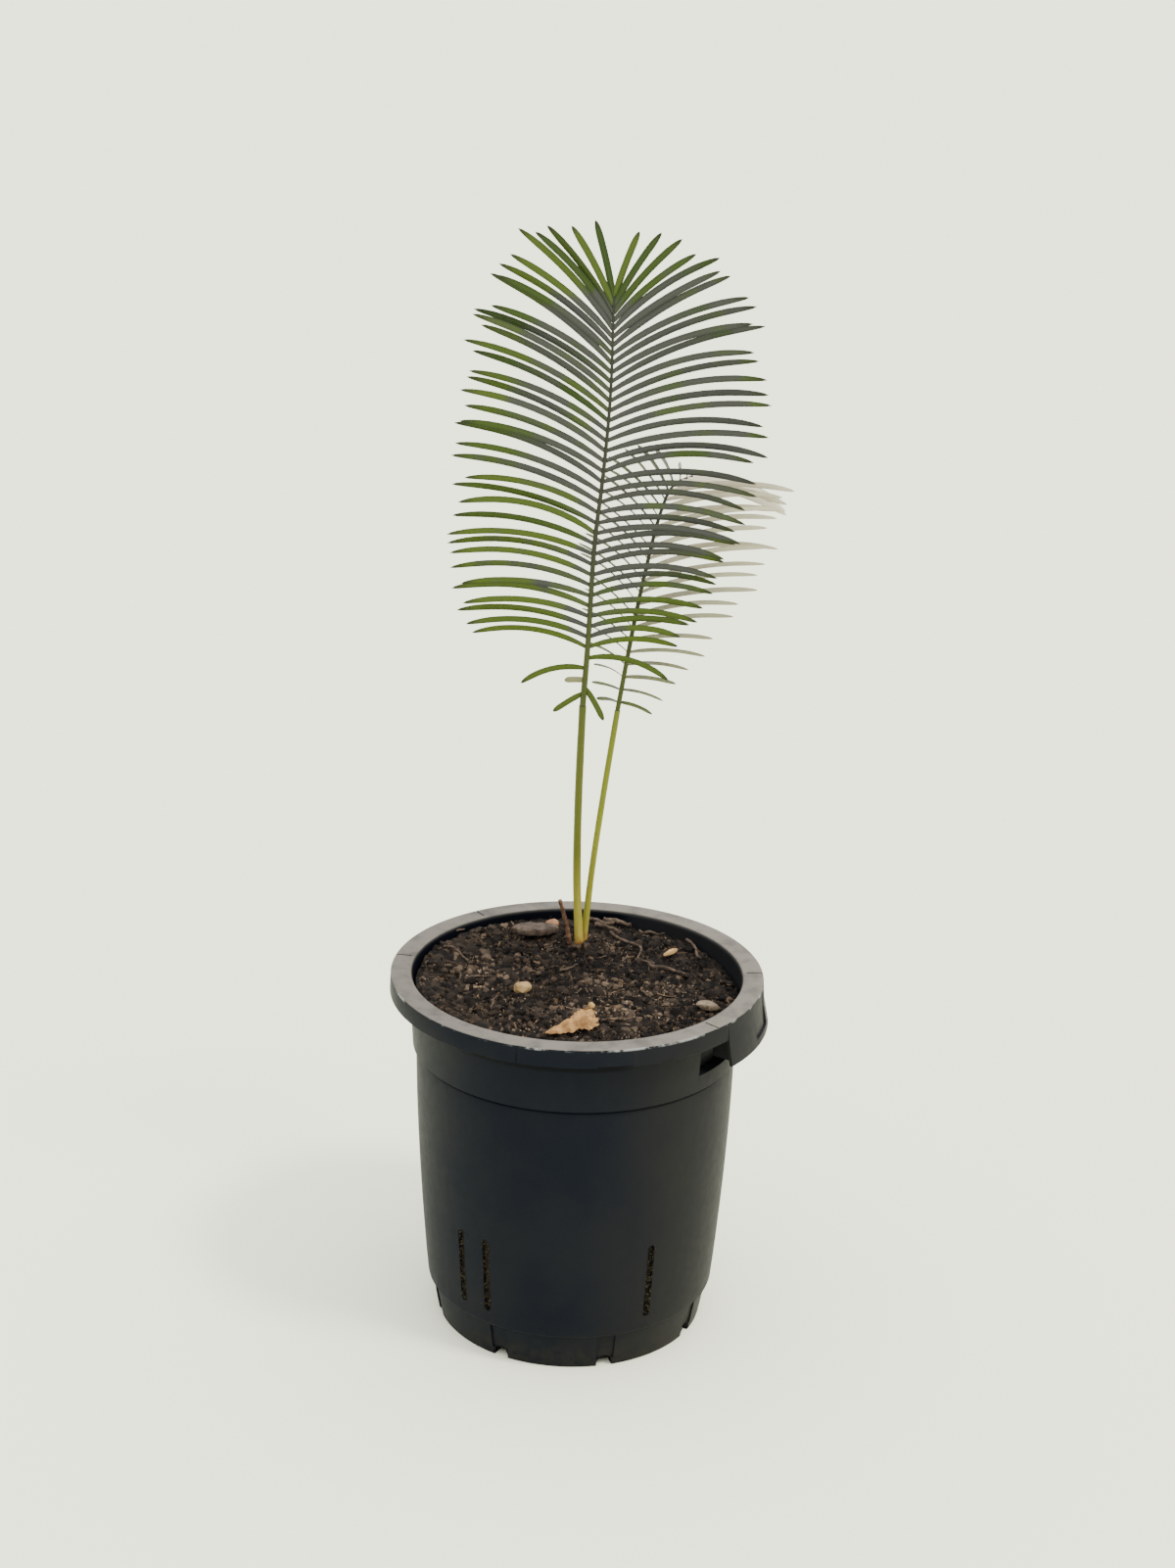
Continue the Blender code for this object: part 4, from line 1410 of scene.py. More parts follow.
    def build(self, limbs: Grower) -> None:
        """Builds the bed and everything strewn over it.

        Args:
            limbs: The tree that makes round limbs.
        """
        earth = EarthMix("potting mix", (
            (0.00, (0.0036, 0.0028, 0.0022)), (0.30, (0.0125, 0.0093, 0.0068)),
            (0.55, (0.037, 0.0262, 0.0180)), (0.80, (0.095, 0.067, 0.045)),
            (1.00, (0.210, 0.150, 0.098)),
        )).build()
        woody = EarthMix("bark slivers", (
            (0.00, (0.010, 0.0070, 0.0048)), (0.45, (0.038, 0.023, 0.0135)),
            (0.80, (0.105, 0.066, 0.037)), (1.00, (0.26, 0.175, 0.105)),
        ), rough=0.85).build()
        grain = EarthMix("pale grains", (
            (0.00, (0.11, 0.078, 0.046)), (0.55, (0.27, 0.20, 0.125)), (1.00, (0.52, 0.42, 0.30)),
        ), rough=0.75).build()
        bed = self.bed()
        merged(bed, "DIFFERENCE", [self.pot.grip_pocket(grip, 0.0006) for grip in Grip])
        dressed(bed, earth, "potting_mix", "soil", sharp=60.0)
        grower = self.scatter_tree()
        shapes = {name: [self.lump(f"{name}_{n}", seed + n, size, corners) for n in range(5)]
                  for name, seed, size, corners in (
                      ("crumb", 40, (1.0, 0.8, 0.7), 10), ("clod", 60, (1.0, 0.8, 0.65), 18),
                      ("chunk", 100, (1.0, 0.75, 0.55), 34),
                      ("sliver", 80, (1.0, 0.26, 0.14), 14), ("grain", 90, (1.0, 0.7, 0.5), 10),
                      ("chip", 120, (1.0, 0.6, 0.22), 16))}
        shapes["fibre"] = [self.fibre(f"fibre_{n}", 70 + n, 1.0, 0.018) for n in range(6)]
        labels = ("Density", "Seed", "Smallest", "Largest", "Tilt", "Tone_Low", "Tone_High",
                  "Front_Share")
        for name, shape, slot, material, sharp, *values in (
                ("soil_crumbs", "crumb", "potting_mix", earth, 35.0,
                 215000.0, 3, 0.0005, 0.0016, 3.1, 0.05, 0.92, 0.0),
                ("soil_clods", "clod", "potting_mix", earth, 35.0,
                 34000.0, 8, 0.0013, 0.0038, 1.0, 0.0, 0.80, 0.0),
                ("soil_chunks", "chunk", "potting_mix", earth, 35.0,
                 5000.0, 31, 0.0028, 0.0062, 0.8, 0.0, 0.60, -0.5),
                ("bark_chips", "chip", "woody", woody, 35.0,
                 7000.0, 19, 0.0017, 0.0050, 0.8, 0.0, 0.80, 0.0),
                ("bark_slivers", "sliver", "woody", woody, 35.0,
                 15000.0, 15, 0.0015, 0.0042, 1.2, 0.05, 1.0, 0.5),
                ("pale_grains", "grain", "pebble", grain, 35.0,
                 26000.0, 21, 0.0004, 0.0013, 3.1, 0.0, 0.95, 0.8),
                ("root_fibres", "fibre", "woody", woody, 60.0,
                 6500.0, 27, 0.006, 0.019, 0.30, 0.3, 1.0, 0.0)):
            piece = self.strew(grower, name, shapes[shape], Material=material,
                               **dict(zip(labels, values)))
            dressed(piece, None, slot, sharp=sharp)
        twig = DryMatter("old twigs", (0.120, 0.085, 0.058), (0.034, 0.022, 0.015), scale=260.0,
                         streak_scale=600.0, dust=0.0, relief=0.0005).build()
        dressed(self.crooked_twigs(limbs, twig), twig, "woody", sharp=60.0)
        dressed(self.slot_soil(), EarthMix("soil in the slots", (
            (0.0, (0.011, 0.0095, 0.0055)), (0.6, (0.031, 0.0255, 0.0140)),
            (1.0, (0.075, 0.060, 0.032)),
        )).build(), "potting_mix", sharp=35.0)

    def slot_soil(self) -> Object:
        """Builds the crumbs that show in the breathing slots and cling just round them.

        Returns:
            The crumbs as one piece.
        """
        draw = random.Random(33)
        crumbs = [self.lump(f"plug_{n}", 140 + n, (1.0, 0.8, 0.6), 11) for n in range(4)]
        pot, bm, tones = self.pot, bmesh.new(), []
        low, high = pot.slot_heights
        for degrees in pot.slots:
            for number in range(210):
                height = draw.uniform(low + 0.001, high - 0.001)
                aside = draw.uniform(-0.46, 0.46) * pot.slot_width
                depth = draw.uniform(-0.0003, 0.0008)
                size = draw.uniform(0.0005, 0.0010)
                if number > 130:
                    height = draw.uniform(low - 0.010, high + 0.002)
                    aside = draw.gauss(0.0, 0.62) * pot.slot_width
                    depth, size = 0.0, draw.uniform(0.00025, 0.0006)
                radius = pot.wall_at(height) - depth
                turn = Matrix.Rotation(radians(degrees), 4, "Z")
                spin = Quaternion([draw.gauss(0, 1) for _ in range(4)]).normalized()
                place = (turn @ Matrix.Translation((radius, aside, height))
                         @ spin.to_matrix().to_4x4() @ Matrix.Scale(size, 4))
                mesh = draw.choice(crumbs).data.copy()
                mesh.transform(place)
                bm.from_mesh(mesh)
                tones += [draw.random()] * len(mesh.vertices)
                bpy.data.meshes.remove(mesh)
        dropped(*crumbs)
        piece = mesh_object("slot_soil", bm)
        store(piece.data, "tone", tones)
        return piece


# ---------------- crown and stalks


def path_object(name: str, line: Sequence[Vector], radii: Sequence[float]) -> Object:
    """Makes an open chain of edges that carries its radius at each point.

    Args:
        name: The object's name.
        line: The points.
        radii: The radius at each point.

    Returns:
        The object.
    """
    mesh = bpy.data.meshes.new(name)
    mesh.from_pydata([tuple(p) for p in line], [(i, i + 1) for i in range(len(line) - 1)], [])
    store(mesh, "girth", radii)
    return linked(name, mesh)


def limb_tree() -> Grower:
    """Builds the tree that turns a chain of points into a round limb with closed ends.

    Returns:
        The tree, with inputs Sides and Material.
    """
    grower = Grower("Round limb", Sides="Int", Material="Material")
    grower.wiring.feed(grower.out, grower.clad(grower.limb(grower.given["Geometry"]), "Material"))
    return grower


@dataclass(frozen=True)
class Stalk:
    """A leaf stalk's middle line, radii and finish."""

    name: str
    node: str
    line: tuple[Point, ...]
    foot_radius: float
    top_radius: float
    finish: StalkSkin


@dataclass
class CrownAndStalks:
    """The short stem with its scales, both leaf stalks and the dry stub."""

    place: Vector = field(default_factory=lambda: Vector((0.0010, 0.0660, 0.237)))
    radius: float = 0.0105
    height: float = 0.0045
    seam: float = 0.0003
    stalks: tuple[Stalk, ...] = (
        Stalk("front_stalk", "front_petiole",
              ((0.0004, 0.0655, 0.2420), (-0.0022, 0.0650, 0.2900),
               (-0.0026, 0.0640, 0.3500), (-0.0014, 0.0625, 0.4160)),
              0.0029, 0.0025,
              StalkSkin("front stalk skin", (
                  (0.00, (0.360, 0.255, 0.050)), (0.05, (0.270, 0.240, 0.036)),
                  (0.15, (0.086, 0.094, 0.009)), (0.37, (0.050, 0.061, 0.006)),
                  (1.00, (0.032, 0.040, 0.008))))),
        Stalk("back_stalk", "back_petiole",
              ((0.0036, 0.0712, 0.2420), (0.0080, 0.0682, 0.2950),
               (0.0142, 0.0667, 0.3500), (0.0222, 0.0672, 0.4120)),
              0.0023, 0.0020,
              StalkSkin("back stalk skin", (
                  (0.00, (0.330, 0.235, 0.044)), (0.05, (0.230, 0.215, 0.030)),
                  (0.22, (0.138, 0.154, 0.009)), (0.34, (0.104, 0.120, 0.008)),
                  (1.00, (0.046, 0.055, 0.009))))),
    )

    def knobbed(self, line: list[Vector], radii: list[float], seed: int) -> list[float]:
        """Gives a limb slight swellings and a broader foot.

        Args:
            line: Its middle line.
            radii: Its plain radii.
            seed: Seed of the swellings.

        Returns:
            The new radii.
        """
        result = []
        for index, (point, radius) in enumerate(zip(line, radii)):
            wave = noise.noise(point * 55 + Vector((seed, 0, 0)))
            foot = exp(-index / 3.0) * 0.10
            result.append(radius * (1 + 0.035 * wave + foot))
        return result

    def scale_leaf(self, name: str, azimuth: float, lean: float, length: float, seed: int
                   ) -> Object:
        """Makes one dry pointed scale that stands against the crown.

        Args:
            name: Its name.
            azimuth: Where it stands round the crown.
            lean: How far it leans out.
            length: Its length.
            seed: Seed of its curl.

        Returns:
            The scale.
        """
        rows = []
        curl = random.Random(seed).uniform(-0.4, 0.7)
        for row in range(7):
            share = row / 6
            half = 0.0016 * (1 - share ** 1.6) + 0.0001
            out = self.radius * 0.60 + sin(lean + curl * share) * length * share
            rise = cos(lean + curl * share * 0.6) * length * share
            rows.append([(out + 0.0008 * (1 - side ** 2), side * half, rise)
                         for side in (-1.0, -0.4, 0.4, 1.0)])
        scale = skinned(name, rows, capped=False, closed=False)
        scale.data.transform(Matrix.Translation(self.place + 0.0006 * UP)
                             @ Matrix.Rotation(azimuth, 4, "Z"))
        shell = scale.modifiers.new("Blade", "SOLIDIFY")
        shell.thickness = 0.0004
        shell.offset = 0.0
        return frozen(scale)

    def crown(self) -> None:
        """Builds the squat crown and the dry scales round it."""
        outline = [(0.0, 0.0050), (0.0040, 0.0048), (0.0068, 0.0036), (0.0084, 0.0018),
                   (0.0086, 0.0004), (0.0, 0.0003)]
        crown = turned("crown_stem", rounded(outline, 0.001), 48)
        for vertex in crown.data.vertices:
            spot = vertex.co + self.place
            push = 1 + 0.07 * noise.fractal(spot * 700, 0.7, 2.0, 3)
            vertex.co.x *= push
            vertex.co.y *= push
            vertex.co += self.place
        husk = DryMatter("crown husk", (0.070, 0.038, 0.018), (0.010, 0.0060, 0.0040),
                         scale=300.0, streak_scale=500.0, dust=0.05, relief=0.0008).build()
        scales = []
        draw = random.Random(12)
        for number in range(11):
            azimuth = number * tau / 11 + draw.uniform(-0.2, 0.2)
            scales.append(self.scale_leaf(f"scale_{number}", azimuth, draw.uniform(0.05, 0.45),
                                          draw.uniform(0.004, 0.0085), 30 + number))
        bm = bmesh.new()
        for part in [crown, *scales]:
            bm.from_mesh(part.data)
        dropped(crown, *scales)
        dressed(mesh_object("crown_husk", bm), husk, "woody", "crown", sharp=50.0)

    def build(self, limbs: Grower) -> None:
        """Builds the crown, the stalks and the stub.

        Args:
            limbs: The tree that makes round limbs.
        """
        self.crown()
        for number, stalk in enumerate(self.stalks):
            line = smooth_line(stalk.line, 61)
            line[0].z = self.place.z + self.height + 1.5 * self.seam
            line[-1] = line[-1] - (line[-1] - line[-2]).normalized() * 2 * self.seam
            straight = [stalk.foot_radius + (stalk.top_radius - stalk.foot_radius) * i / 60
                        for i in range(61)]
            path = path_object(stalk.name, line, self.knobbed(line, straight, number))
            limb = limbs.grow(path, Sides=20, Material=stalk.finish.build())
            dressed(limb, None, "leaf_stalk", stalk.node, sharp=50.0)
        stub_line = smooth_line(((-0.0060, 0.0645, 0.24195), (-0.0088, 0.0642, 0.2565),
                                 (-0.0136, 0.0635, 0.2742)), 25)
        radii = [0.0017 - 0.0004 * i / 24 + 0.00014 * sin(i * 1.7) for i in range(25)]
        dry = DryMatter("dry stalk", (0.185, 0.100, 0.052), (0.040, 0.018, 0.011), scale=240.0,
                        streak_scale=700.0, relief=0.0004).build()
        stub = limbs.grow(path_object("dry_stub", stub_line, radii), Sides=12, Material=dry)
        dressed(stub, None, "woody", "old_petiole_stub", sharp=50.0)


# ---------------- fronds


@dataclass(frozen=True)
class FootLeaflet:
    """One of the odd short leaflets at a frond's foot, at a height up its midrib."""

    height: float
    side: int
    angle: float
    length: float
    curl: float
    fade: float = 0.0


@dataclass(frozen=True)
class FrondRule:
    """How one frond grows. A pair of numbers is for the left row and the right row."""

    name: str
    node: str
    line: tuple[Point, ...]
    foot_radius: float
    tip_radius: float
    right: Point
    lift: float
    twist: float
    longest: tuple[float, float]
    open_angles: tuple[float, float]
    opening: float
    curl: float
    droop: float
    apex_droop: float
    close_spacing: float
    wide_spacing: float
    spacing_reach: float
    apex_loss: tuple[float, float]
    base_loss: tuple[float, float]
    basal_zone: float
    seed: int
    bare_foot: float = 0.0
    foot_leaflets: tuple[FootLeaflet, ...] = ()
    # How much painted grey sheen each row of leaflets has.
    bloom: tuple[float, float] = (0.2, 0.5)
    fade: float = 0.0
    eased: tuple[float, float] = (0.0, 0.0)


@dataclass(frozen=True)
class Seedling:
    """One leaflet before it is drawn: where it leaves the midrib and how it runs."""

    root: Vector
    along: Vector
    across: Vector
    angle: float
    reach: float
    curl: float
    droop: float
    twist: float
    tone: float
    # How much painted grey sheen the leaflet has.
    bloom: float
    fade: float


@dataclass
class FeatherFrond:
    """A feather-shaped leaf blade grown from its rule."""

    rule: FrondRule
    leaf: LeafSkin
    rib: StalkSkin
    width: float = 0.0045
    thickness: float = 0.00042
    stations: int = 15
    apex_angle: float = radians(6)
    apex_angle_reach: float = 0.012
    apex_angle_power: float = 0.8
    apex_loss_reach: float = 0.020
    widest_angle: float = radians(83)
    base_loss_start: float = 0.100
    base_loss_reach: float = 0.135
    apex_clear: float = 0.0020
    basal_shortest: float = 0.25
    basal_turn: float = radians(28)
    angle_scatter: float = radians(1.15)
    curl_scatter: float = 0.03
    length_scatter: float = 0.035
    lift_stagger: float = radians(2.5)
    twist_scatter: float = radians(3)
    # How the painted grey sheen thins towards the frond's foot and is held back near the apex.
    sheen_loss: tuple[float, float] = (0.45, 0.80)
    sheen_start: float = 0.015
    sheen_reach: float = 0.06
    sheen_held: float = 0.35

    def distances(self, length: float) -> list[float]:
        """Works out where leaflet pairs leave the midrib.

        Args:
            length: The midrib's length.

        Returns:
            Distances back from the apex.
        """
        rule, distance, places = self.rule, self.apex_clear, []
        while distance < length - max(2 * rule.foot_radius, rule.bare_foot):
            places.append(distance)
            opened = 1 - exp(-distance / rule.spacing_reach)
            distance += rule.close_spacing + (rule.wide_spacing - rule.close_spacing) * opened
        return places

    def angle_at(self, distance: float, length: float, row: int) -> float:
        """Works out how far a leaflet stands out.

        Args:
            distance: How far back from the apex it leaves the midrib.
            length: The midrib's length.
            row: 0 for the left row, 1 for the right.

        Returns:
            The angle from the midrib to its chord.
        """
        rule = self.rule
        open_angle = rule.open_angles[row]
        closing = exp(-(distance / self.apex_angle_reach) ** self.apex_angle_power)
        opened = min(self.widest_angle, open_angle + rule.opening * distance)
        basal = max(0.0, 1 - (length - distance) / rule.basal_zone)
        return (opened - (open_angle - self.apex_angle) * closing
                + self.basal_turn * basal ** 2)

    def length_at(self, distance: float, length: float, row: int) -> float:
        """Works out how long a leaflet is.

        Args:
            distance: How far back from the apex it leaves the midrib.
            length: The midrib's length.
            row: 0 for the left row, 1 for the right.

        Returns:
            Its length.
        """
        rule = self.rule
        apex = 1 - rule.apex_loss[row] * exp(-distance / self.apex_loss_reach)
        from_start = max(0.0, (distance - self.base_loss_start) / self.base_loss_reach)
        base = 1 - rule.base_loss[row] * from_start ** 2
        share = min(1.0, (length - distance) / rule.basal_zone)
        basal = self.basal_shortest + (1 - self.basal_shortest) * share
        return rule.longest[row] * apex * base * basal

    @staticmethod
    def on_line(line: list[Vector], distance: float) -> tuple[Vector, Vector]:
        """Walks back along a line.

        Args:
            line: The line.
            distance: How far from its end.

        Returns:
            The point there and the heading.
        """
        for index in range(len(line) - 1, 0, -1):
            step = line[index] - line[index - 1]
            if distance <= step.length or index == 1:
                break
            distance -= step.length
        return line[index] - step.normalized() * distance, step.normalized()

    def frame_at(self, line: list[Vector], distance: float
                 ) -> tuple[Vector, Vector, Vector, Vector]:
        """Sets up directions at a place on the midrib.

        Args:
            line: The midrib.
            distance: How far back from the apex.

        Returns:
            The place, its heading, its right side and its facing side.
        """
        root, along = self.on_line(line, distance)
        facing = Vector(self.rule.right).cross(along).normalized()
        return root, along, along.cross(facing), facing

    def sheen_at(self, share: float, row: int) -> float:
        """Works out how much painted grey sheen a leaflet has. The apex has none.

        Args:
            share: How far down the frond it is, from 0 to 1.
            row: 0 for the left row, 1 for the right.

        Returns:
            The amount of painted sheen.
        """
        fading = 1 - self.sheen_loss[row] * share ** 1.8
        grown = min(1.0, max(0.0, (share - self.sheen_start) / self.sheen_reach))
        return self.rule.bloom[row] * grown * fading - self.sheen_held * (1 - grown)

    def seedlings(self) -> list[Seedling]:
        """Works out every leaflet of the frond.

        Returns:
            The leaflets, in pairs from the apex down, and then the odd ones at the foot.
        """
        rule = self.rule
        draw, look = random.Random(rule.seed), random.Random(rule.seed + 500)
        line = smooth_line(rule.line, 25)
        length = sum((b - a).length for a, b in zip(line, line[1:]))
        found = []
        for number, distance in enumerate(self.distances(length)):
            root, along, right, facing = self.frame_at(line, distance)
            droop = rule.droop + rule.apex_droop * exp(-distance / self.apex_loss_reach)
            lift = rule.lift + (self.lift_stagger if number % 2 else -self.lift_stagger)
            for row, side in enumerate((-1, 1)):
                across = side * cos(lift) * right + sin(lift) * facing
                angle = self.angle_at(distance, length, row)
                angle += draw.gauss(0.0, self.angle_scatter)
                reach = self.length_at(distance, length, row)
                reach *= 1 + draw.gauss(0.0, self.length_scatter)
                found.append(Seedling(
                    root, along, across, angle, reach,
                    rule.curl + look.gauss(0.0, self.curl_scatter), droop,
                    side * (rule.twist + rule.eased[row] + look.gauss(0.0, self.twist_scatter)),
                    (0.25 + 0.75 * look.random()) * (1 - 0.85 * (distance / length) ** 2),
                    self.sheen_at(distance / length, row) + look.uniform(-0.12, 0.12),
                    rule.fade * row * min(1.0, max(0.0, 1.5 - 1.5 * distance / length))))
        for odd in rule.foot_leaflets:
            root, along, right, facing = self.frame_at(line, length - odd.height)
            across = odd.side * cos(rule.lift) * right + sin(rule.lift) * facing
            found.append(Seedling(root, along, across, odd.angle, odd.length, odd.curl,
                                  rule.droop, odd.side * rule.twist, 0.3, -0.5, odd.fade))
        return found

    def blank(self) -> Object:
        """Makes the leaflet blank: X runs along it from 0 to 1, Y across, Z through it.

        Returns:
            The blank, whose points also carry their place as the attribute blade.
        """
        section = ((-1.0, -0.55), (-0.52, 0.42), (0.0, 0.05), (0.52, 0.42), (1.0, -0.55),
                   (0.50, -0.40), (0.0, -1.0), (-0.50, -0.40))
        rings = []
        for station in range(self.stations):
            share = 1 - (1 - station / (self.stations - 1)) ** 1.35
            root = 0.62 + 0.38 * min(1.0, share / 0.22)
            past = max(0.0, (share - 0.78) / 0.22)
            broad = max(root * sqrt(max(0.0, 1 - past ** 1.7)), 0.06)
            deep = max(0.30, 1 - share ** 3)
            rings.append([(share, y * broad, z * deep) for y, z in section])
        blank = skinned(f"{self.rule.name}_blank", rings)
        places = [v.co.copy() for v in blank.data.vertices]
        store(blank.data, "place", places, vectors=True)
        store(blank.data, "blade", [(p.x, section[i % len(section)][0], 0.0)
                                    for i, p in enumerate(places)], vectors=True)
        return blank

    def seed_object(self, seedlings: list[Seedling]) -> Object:
        """Makes the mesh that the frond grows from: the midrib's chain and a point per leaflet.

        Args:
            seedlings: The leaflets.

        Returns:
            The object.
        """
        rule = self.rule
        line = smooth_line(rule.line, 97)
        last = len(line) - 1
        girths = [rule.foot_radius + (rule.tip_radius - rule.foot_radius) * i / last
                  for i in range(last + 1)]
        points = [tuple(p) for p in line] + [tuple(s.root) for s in seedlings]
        mesh = bpy.data.meshes.new(rule.name)
        mesh.from_pydata(points, [(i, i + 1) for i in range(last)], [])
        chain = [0.0] * len(line)
        nowhere = [(0.0, 0.0, 0.0)] * len(line)
        store(mesh, "leaf", chain + [1.0] * len(seedlings))
        store(mesh, "girth", girths + [0.0] * len(seedlings))
        # Each leaflet's painted grey sheen is stored with its other values.
        for name in ("angle", "reach", "curl", "droop", "twist", "tone", "bloom", "fade"):
            store(mesh, name, chain + [getattr(s, name) for s in seedlings])
        for name in ("along", "across"):
            store(mesh, name, nowhere + [getattr(s, name) for s in seedlings], vectors=True)
        return linked(rule.name, mesh)

    @staticmethod
    def tree() -> Grower:
        """Builds the tree that grows the midrib and bends a blank into each leaflet.

        Returns:
            The tree.
        """
        grower = Grower("Feathered frond", Blank="Object", Width="Float", Thickness="Float",
                        Sides="Int", Leaf_Material="Material", Rib_Material="Material")
        wiring, given = grower.wiring, grower.given
        is_leaf = wiring.math("GREATER_THAN", wiring.field("leaf"), 0.5)
        leaves = wiring.via("GeometryNodeSeparateGeometry", given["Geometry"], is_leaf)
        stem = leaves.node.outputs["Inverted"]
        blank = wiring.via("GeometryNodeObjectInfo", given["Blank"]).node.outputs["Geometry"]
        leaves = wiring.via("GeometryNodeInstanceOnPoints", leaves, None, blank)
        leaves = wiring.via("GeometryNodeRealizeInstances", leaves)

        place = wiring.field("place", "FLOAT_VECTOR")
        t, v, h = wiring.split(place)
        along = wiring.field("along", "FLOAT_VECTOR")
        across = wiring.field("across", "FLOAT_VECTOR")
        angle, reach = wiring.field("angle"), wiring.field("reach")
        droop, twist, curl = wiring.field("droop"), wiring.field("twist"), wiring.field("curl")
        start = wiring.times(angle, wiring.math("SUBTRACT", 1.0, curl))
        rate = wiring.times(angle, wiring.times(curl, 2.0))
        turn = wiring.math("MULTIPLY_ADD", rate, t, start)
        sine, cosine = wiring.math("SINE", turn), wiring.math("COSINE", turn)
        ahead = wiring.math("DIVIDE", wiring.math(
            "SUBTRACT", sine, wiring.math("SINE", start)), rate)
        aside = wiring.math("DIVIDE", wiring.math(
            "SUBTRACT", wiring.math("COSINE", start), cosine), rate)
        fall = wiring.upright(wiring.times(wiring.times(t, t), wiring.times(droop, -0.5)))
        run = wiring.vector("ADD", wiring.blend(along, ahead, across, aside), fall)
        run = wiring.vector("SCALE", run, reach)
        root = wiring.vector("SUBTRACT", wiring.add("GeometryNodeInputPosition").outputs[0], place)
        pull = wiring.upright(wiring.times(wiring.times(droop, t), -1.0))
        heading = wiring.vector("NORMALIZE", wiring.vector(
            "ADD", wiring.blend(along, cosine, across, sine), pull))
        lean = wiring.vector("DOT_PRODUCT", along, heading)
        broad = wiring.vector("NORMALIZE", wiring.vector(
            "SUBTRACT", along, wiring.vector("SCALE", heading, lean)))
        over = wiring.vector("CROSS_PRODUCT", heading, broad)
        broad = wiring.blend(broad, wiring.math("COSINE", twist), over, wiring.math("SINE", twist))
        over = wiring.vector("CROSS_PRODUCT", heading, broad)
        section = wiring.blend(broad, wiring.times(v, wiring.times(given["Width"], 0.5)),
                               over, wiring.times(h, given["Thickness"]))
        spot = wiring.vector("ADD", wiring.vector("ADD", root, run), section)
        leaves = wiring.via("GeometryNodeSetPosition", leaves, None, spot)
        join = wiring.add("GeometryNodeJoinGeometry")
        wiring.feed(join.inputs[0], grower.clad(grower.limb(stem), "Rib Material"))
        wiring.feed(join.inputs[0], grower.clad(leaves, "Leaf Material"))
        wiring.feed(grower.out, join.outputs[0])
        return grower

    def build(self, grower: Grower) -> None:
        """Grows the frond.

        Args:
            grower: The frond tree.
        """
        blank = self.blank()
        frond = grower.grow(
            self.seed_object(self.seedlings()), Blank=blank, Width=self.width,
            Thickness=self.thickness, Sides=12,
            Leaf_Material=self.leaf.build(), Rib_Material=self.rib.build())
        dropped(blank)
        dressed(frond, None, "foliage", self.rule.node, sharp=60.0)


FRONT_RULE = FrondRule(
    name="front_feather", node="front_frond",
    line=((-0.0014, 0.0625, 0.4160), (0.0010, 0.0618, 0.4600), (0.0034, 0.0604, 0.5250),
          (0.0080, 0.0590, 0.5760), (0.0112, 0.0575, 0.6300), (0.0114, 0.0560, 0.6900)),
    foot_radius=0.0022, tip_radius=0.0008, right=(1.0, 0.0, 0.0),
    lift=radians(9), twist=radians(12), longest=(0.104, 0.104),
    open_angles=(radians(53), radians(59)), opening=radians(170),
    curl=0.21, droop=0.05, apex_droop=0.0, close_spacing=0.0042, wide_spacing=0.0072,
    spacing_reach=0.050, apex_loss=(0.54, 0.60), base_loss=(0.20, 0.42), basal_zone=0.030,
    seed=17, bare_foot=0.0345, bloom=(0.36, 0.71),
    foot_leaflets=(
        FootLeaflet(0.0330, 1, radians(97), 0.058, 0.26),
        FootLeaflet(0.0260, -1, radians(104), 0.046, 0.24),
        FootLeaflet(0.0178, -1, radians(91), 0.014, 0.06, 0.30),
        FootLeaflet(0.0129, 1, radians(145), 0.026, 0.04),
        FootLeaflet(0.0088, -1, radians(124), 0.024, 0.04),
    ),
)
BACK_RULE = FrondRule(
    name="back_feather", node="back_frond",
    line=((0.0222, 0.0672, 0.4120), (0.0312, 0.0748, 0.4686), (0.0387, 0.0826, 0.5080),
          (0.0459, 0.0903, 0.5392), (0.0536, 0.0977, 0.5580), (0.0640, 0.1055, 0.5635),
          (0.0779, 0.1180, 0.5640)),
    foot_radius=0.0017, tip_radius=0.0007,
    right=(cos(radians(31)), -sin(radians(31)), 0.0),
    lift=radians(-10), twist=radians(62), longest=(0.070, 0.086),
    open_angles=(radians(62), radians(62)), opening=radians(30),
    curl=0.10, droop=0.20, apex_droop=0.50, close_spacing=0.0038, wide_spacing=0.0092,
    spacing_reach=0.070, apex_loss=(0.50, 0.45), base_loss=(0.15, 0.20), basal_zone=0.075,
    seed=22, bloom=(0.50, 0.45), fade=0.85, eased=(radians(-7), radians(-15)),
)


# ---------------- what lies on the soil


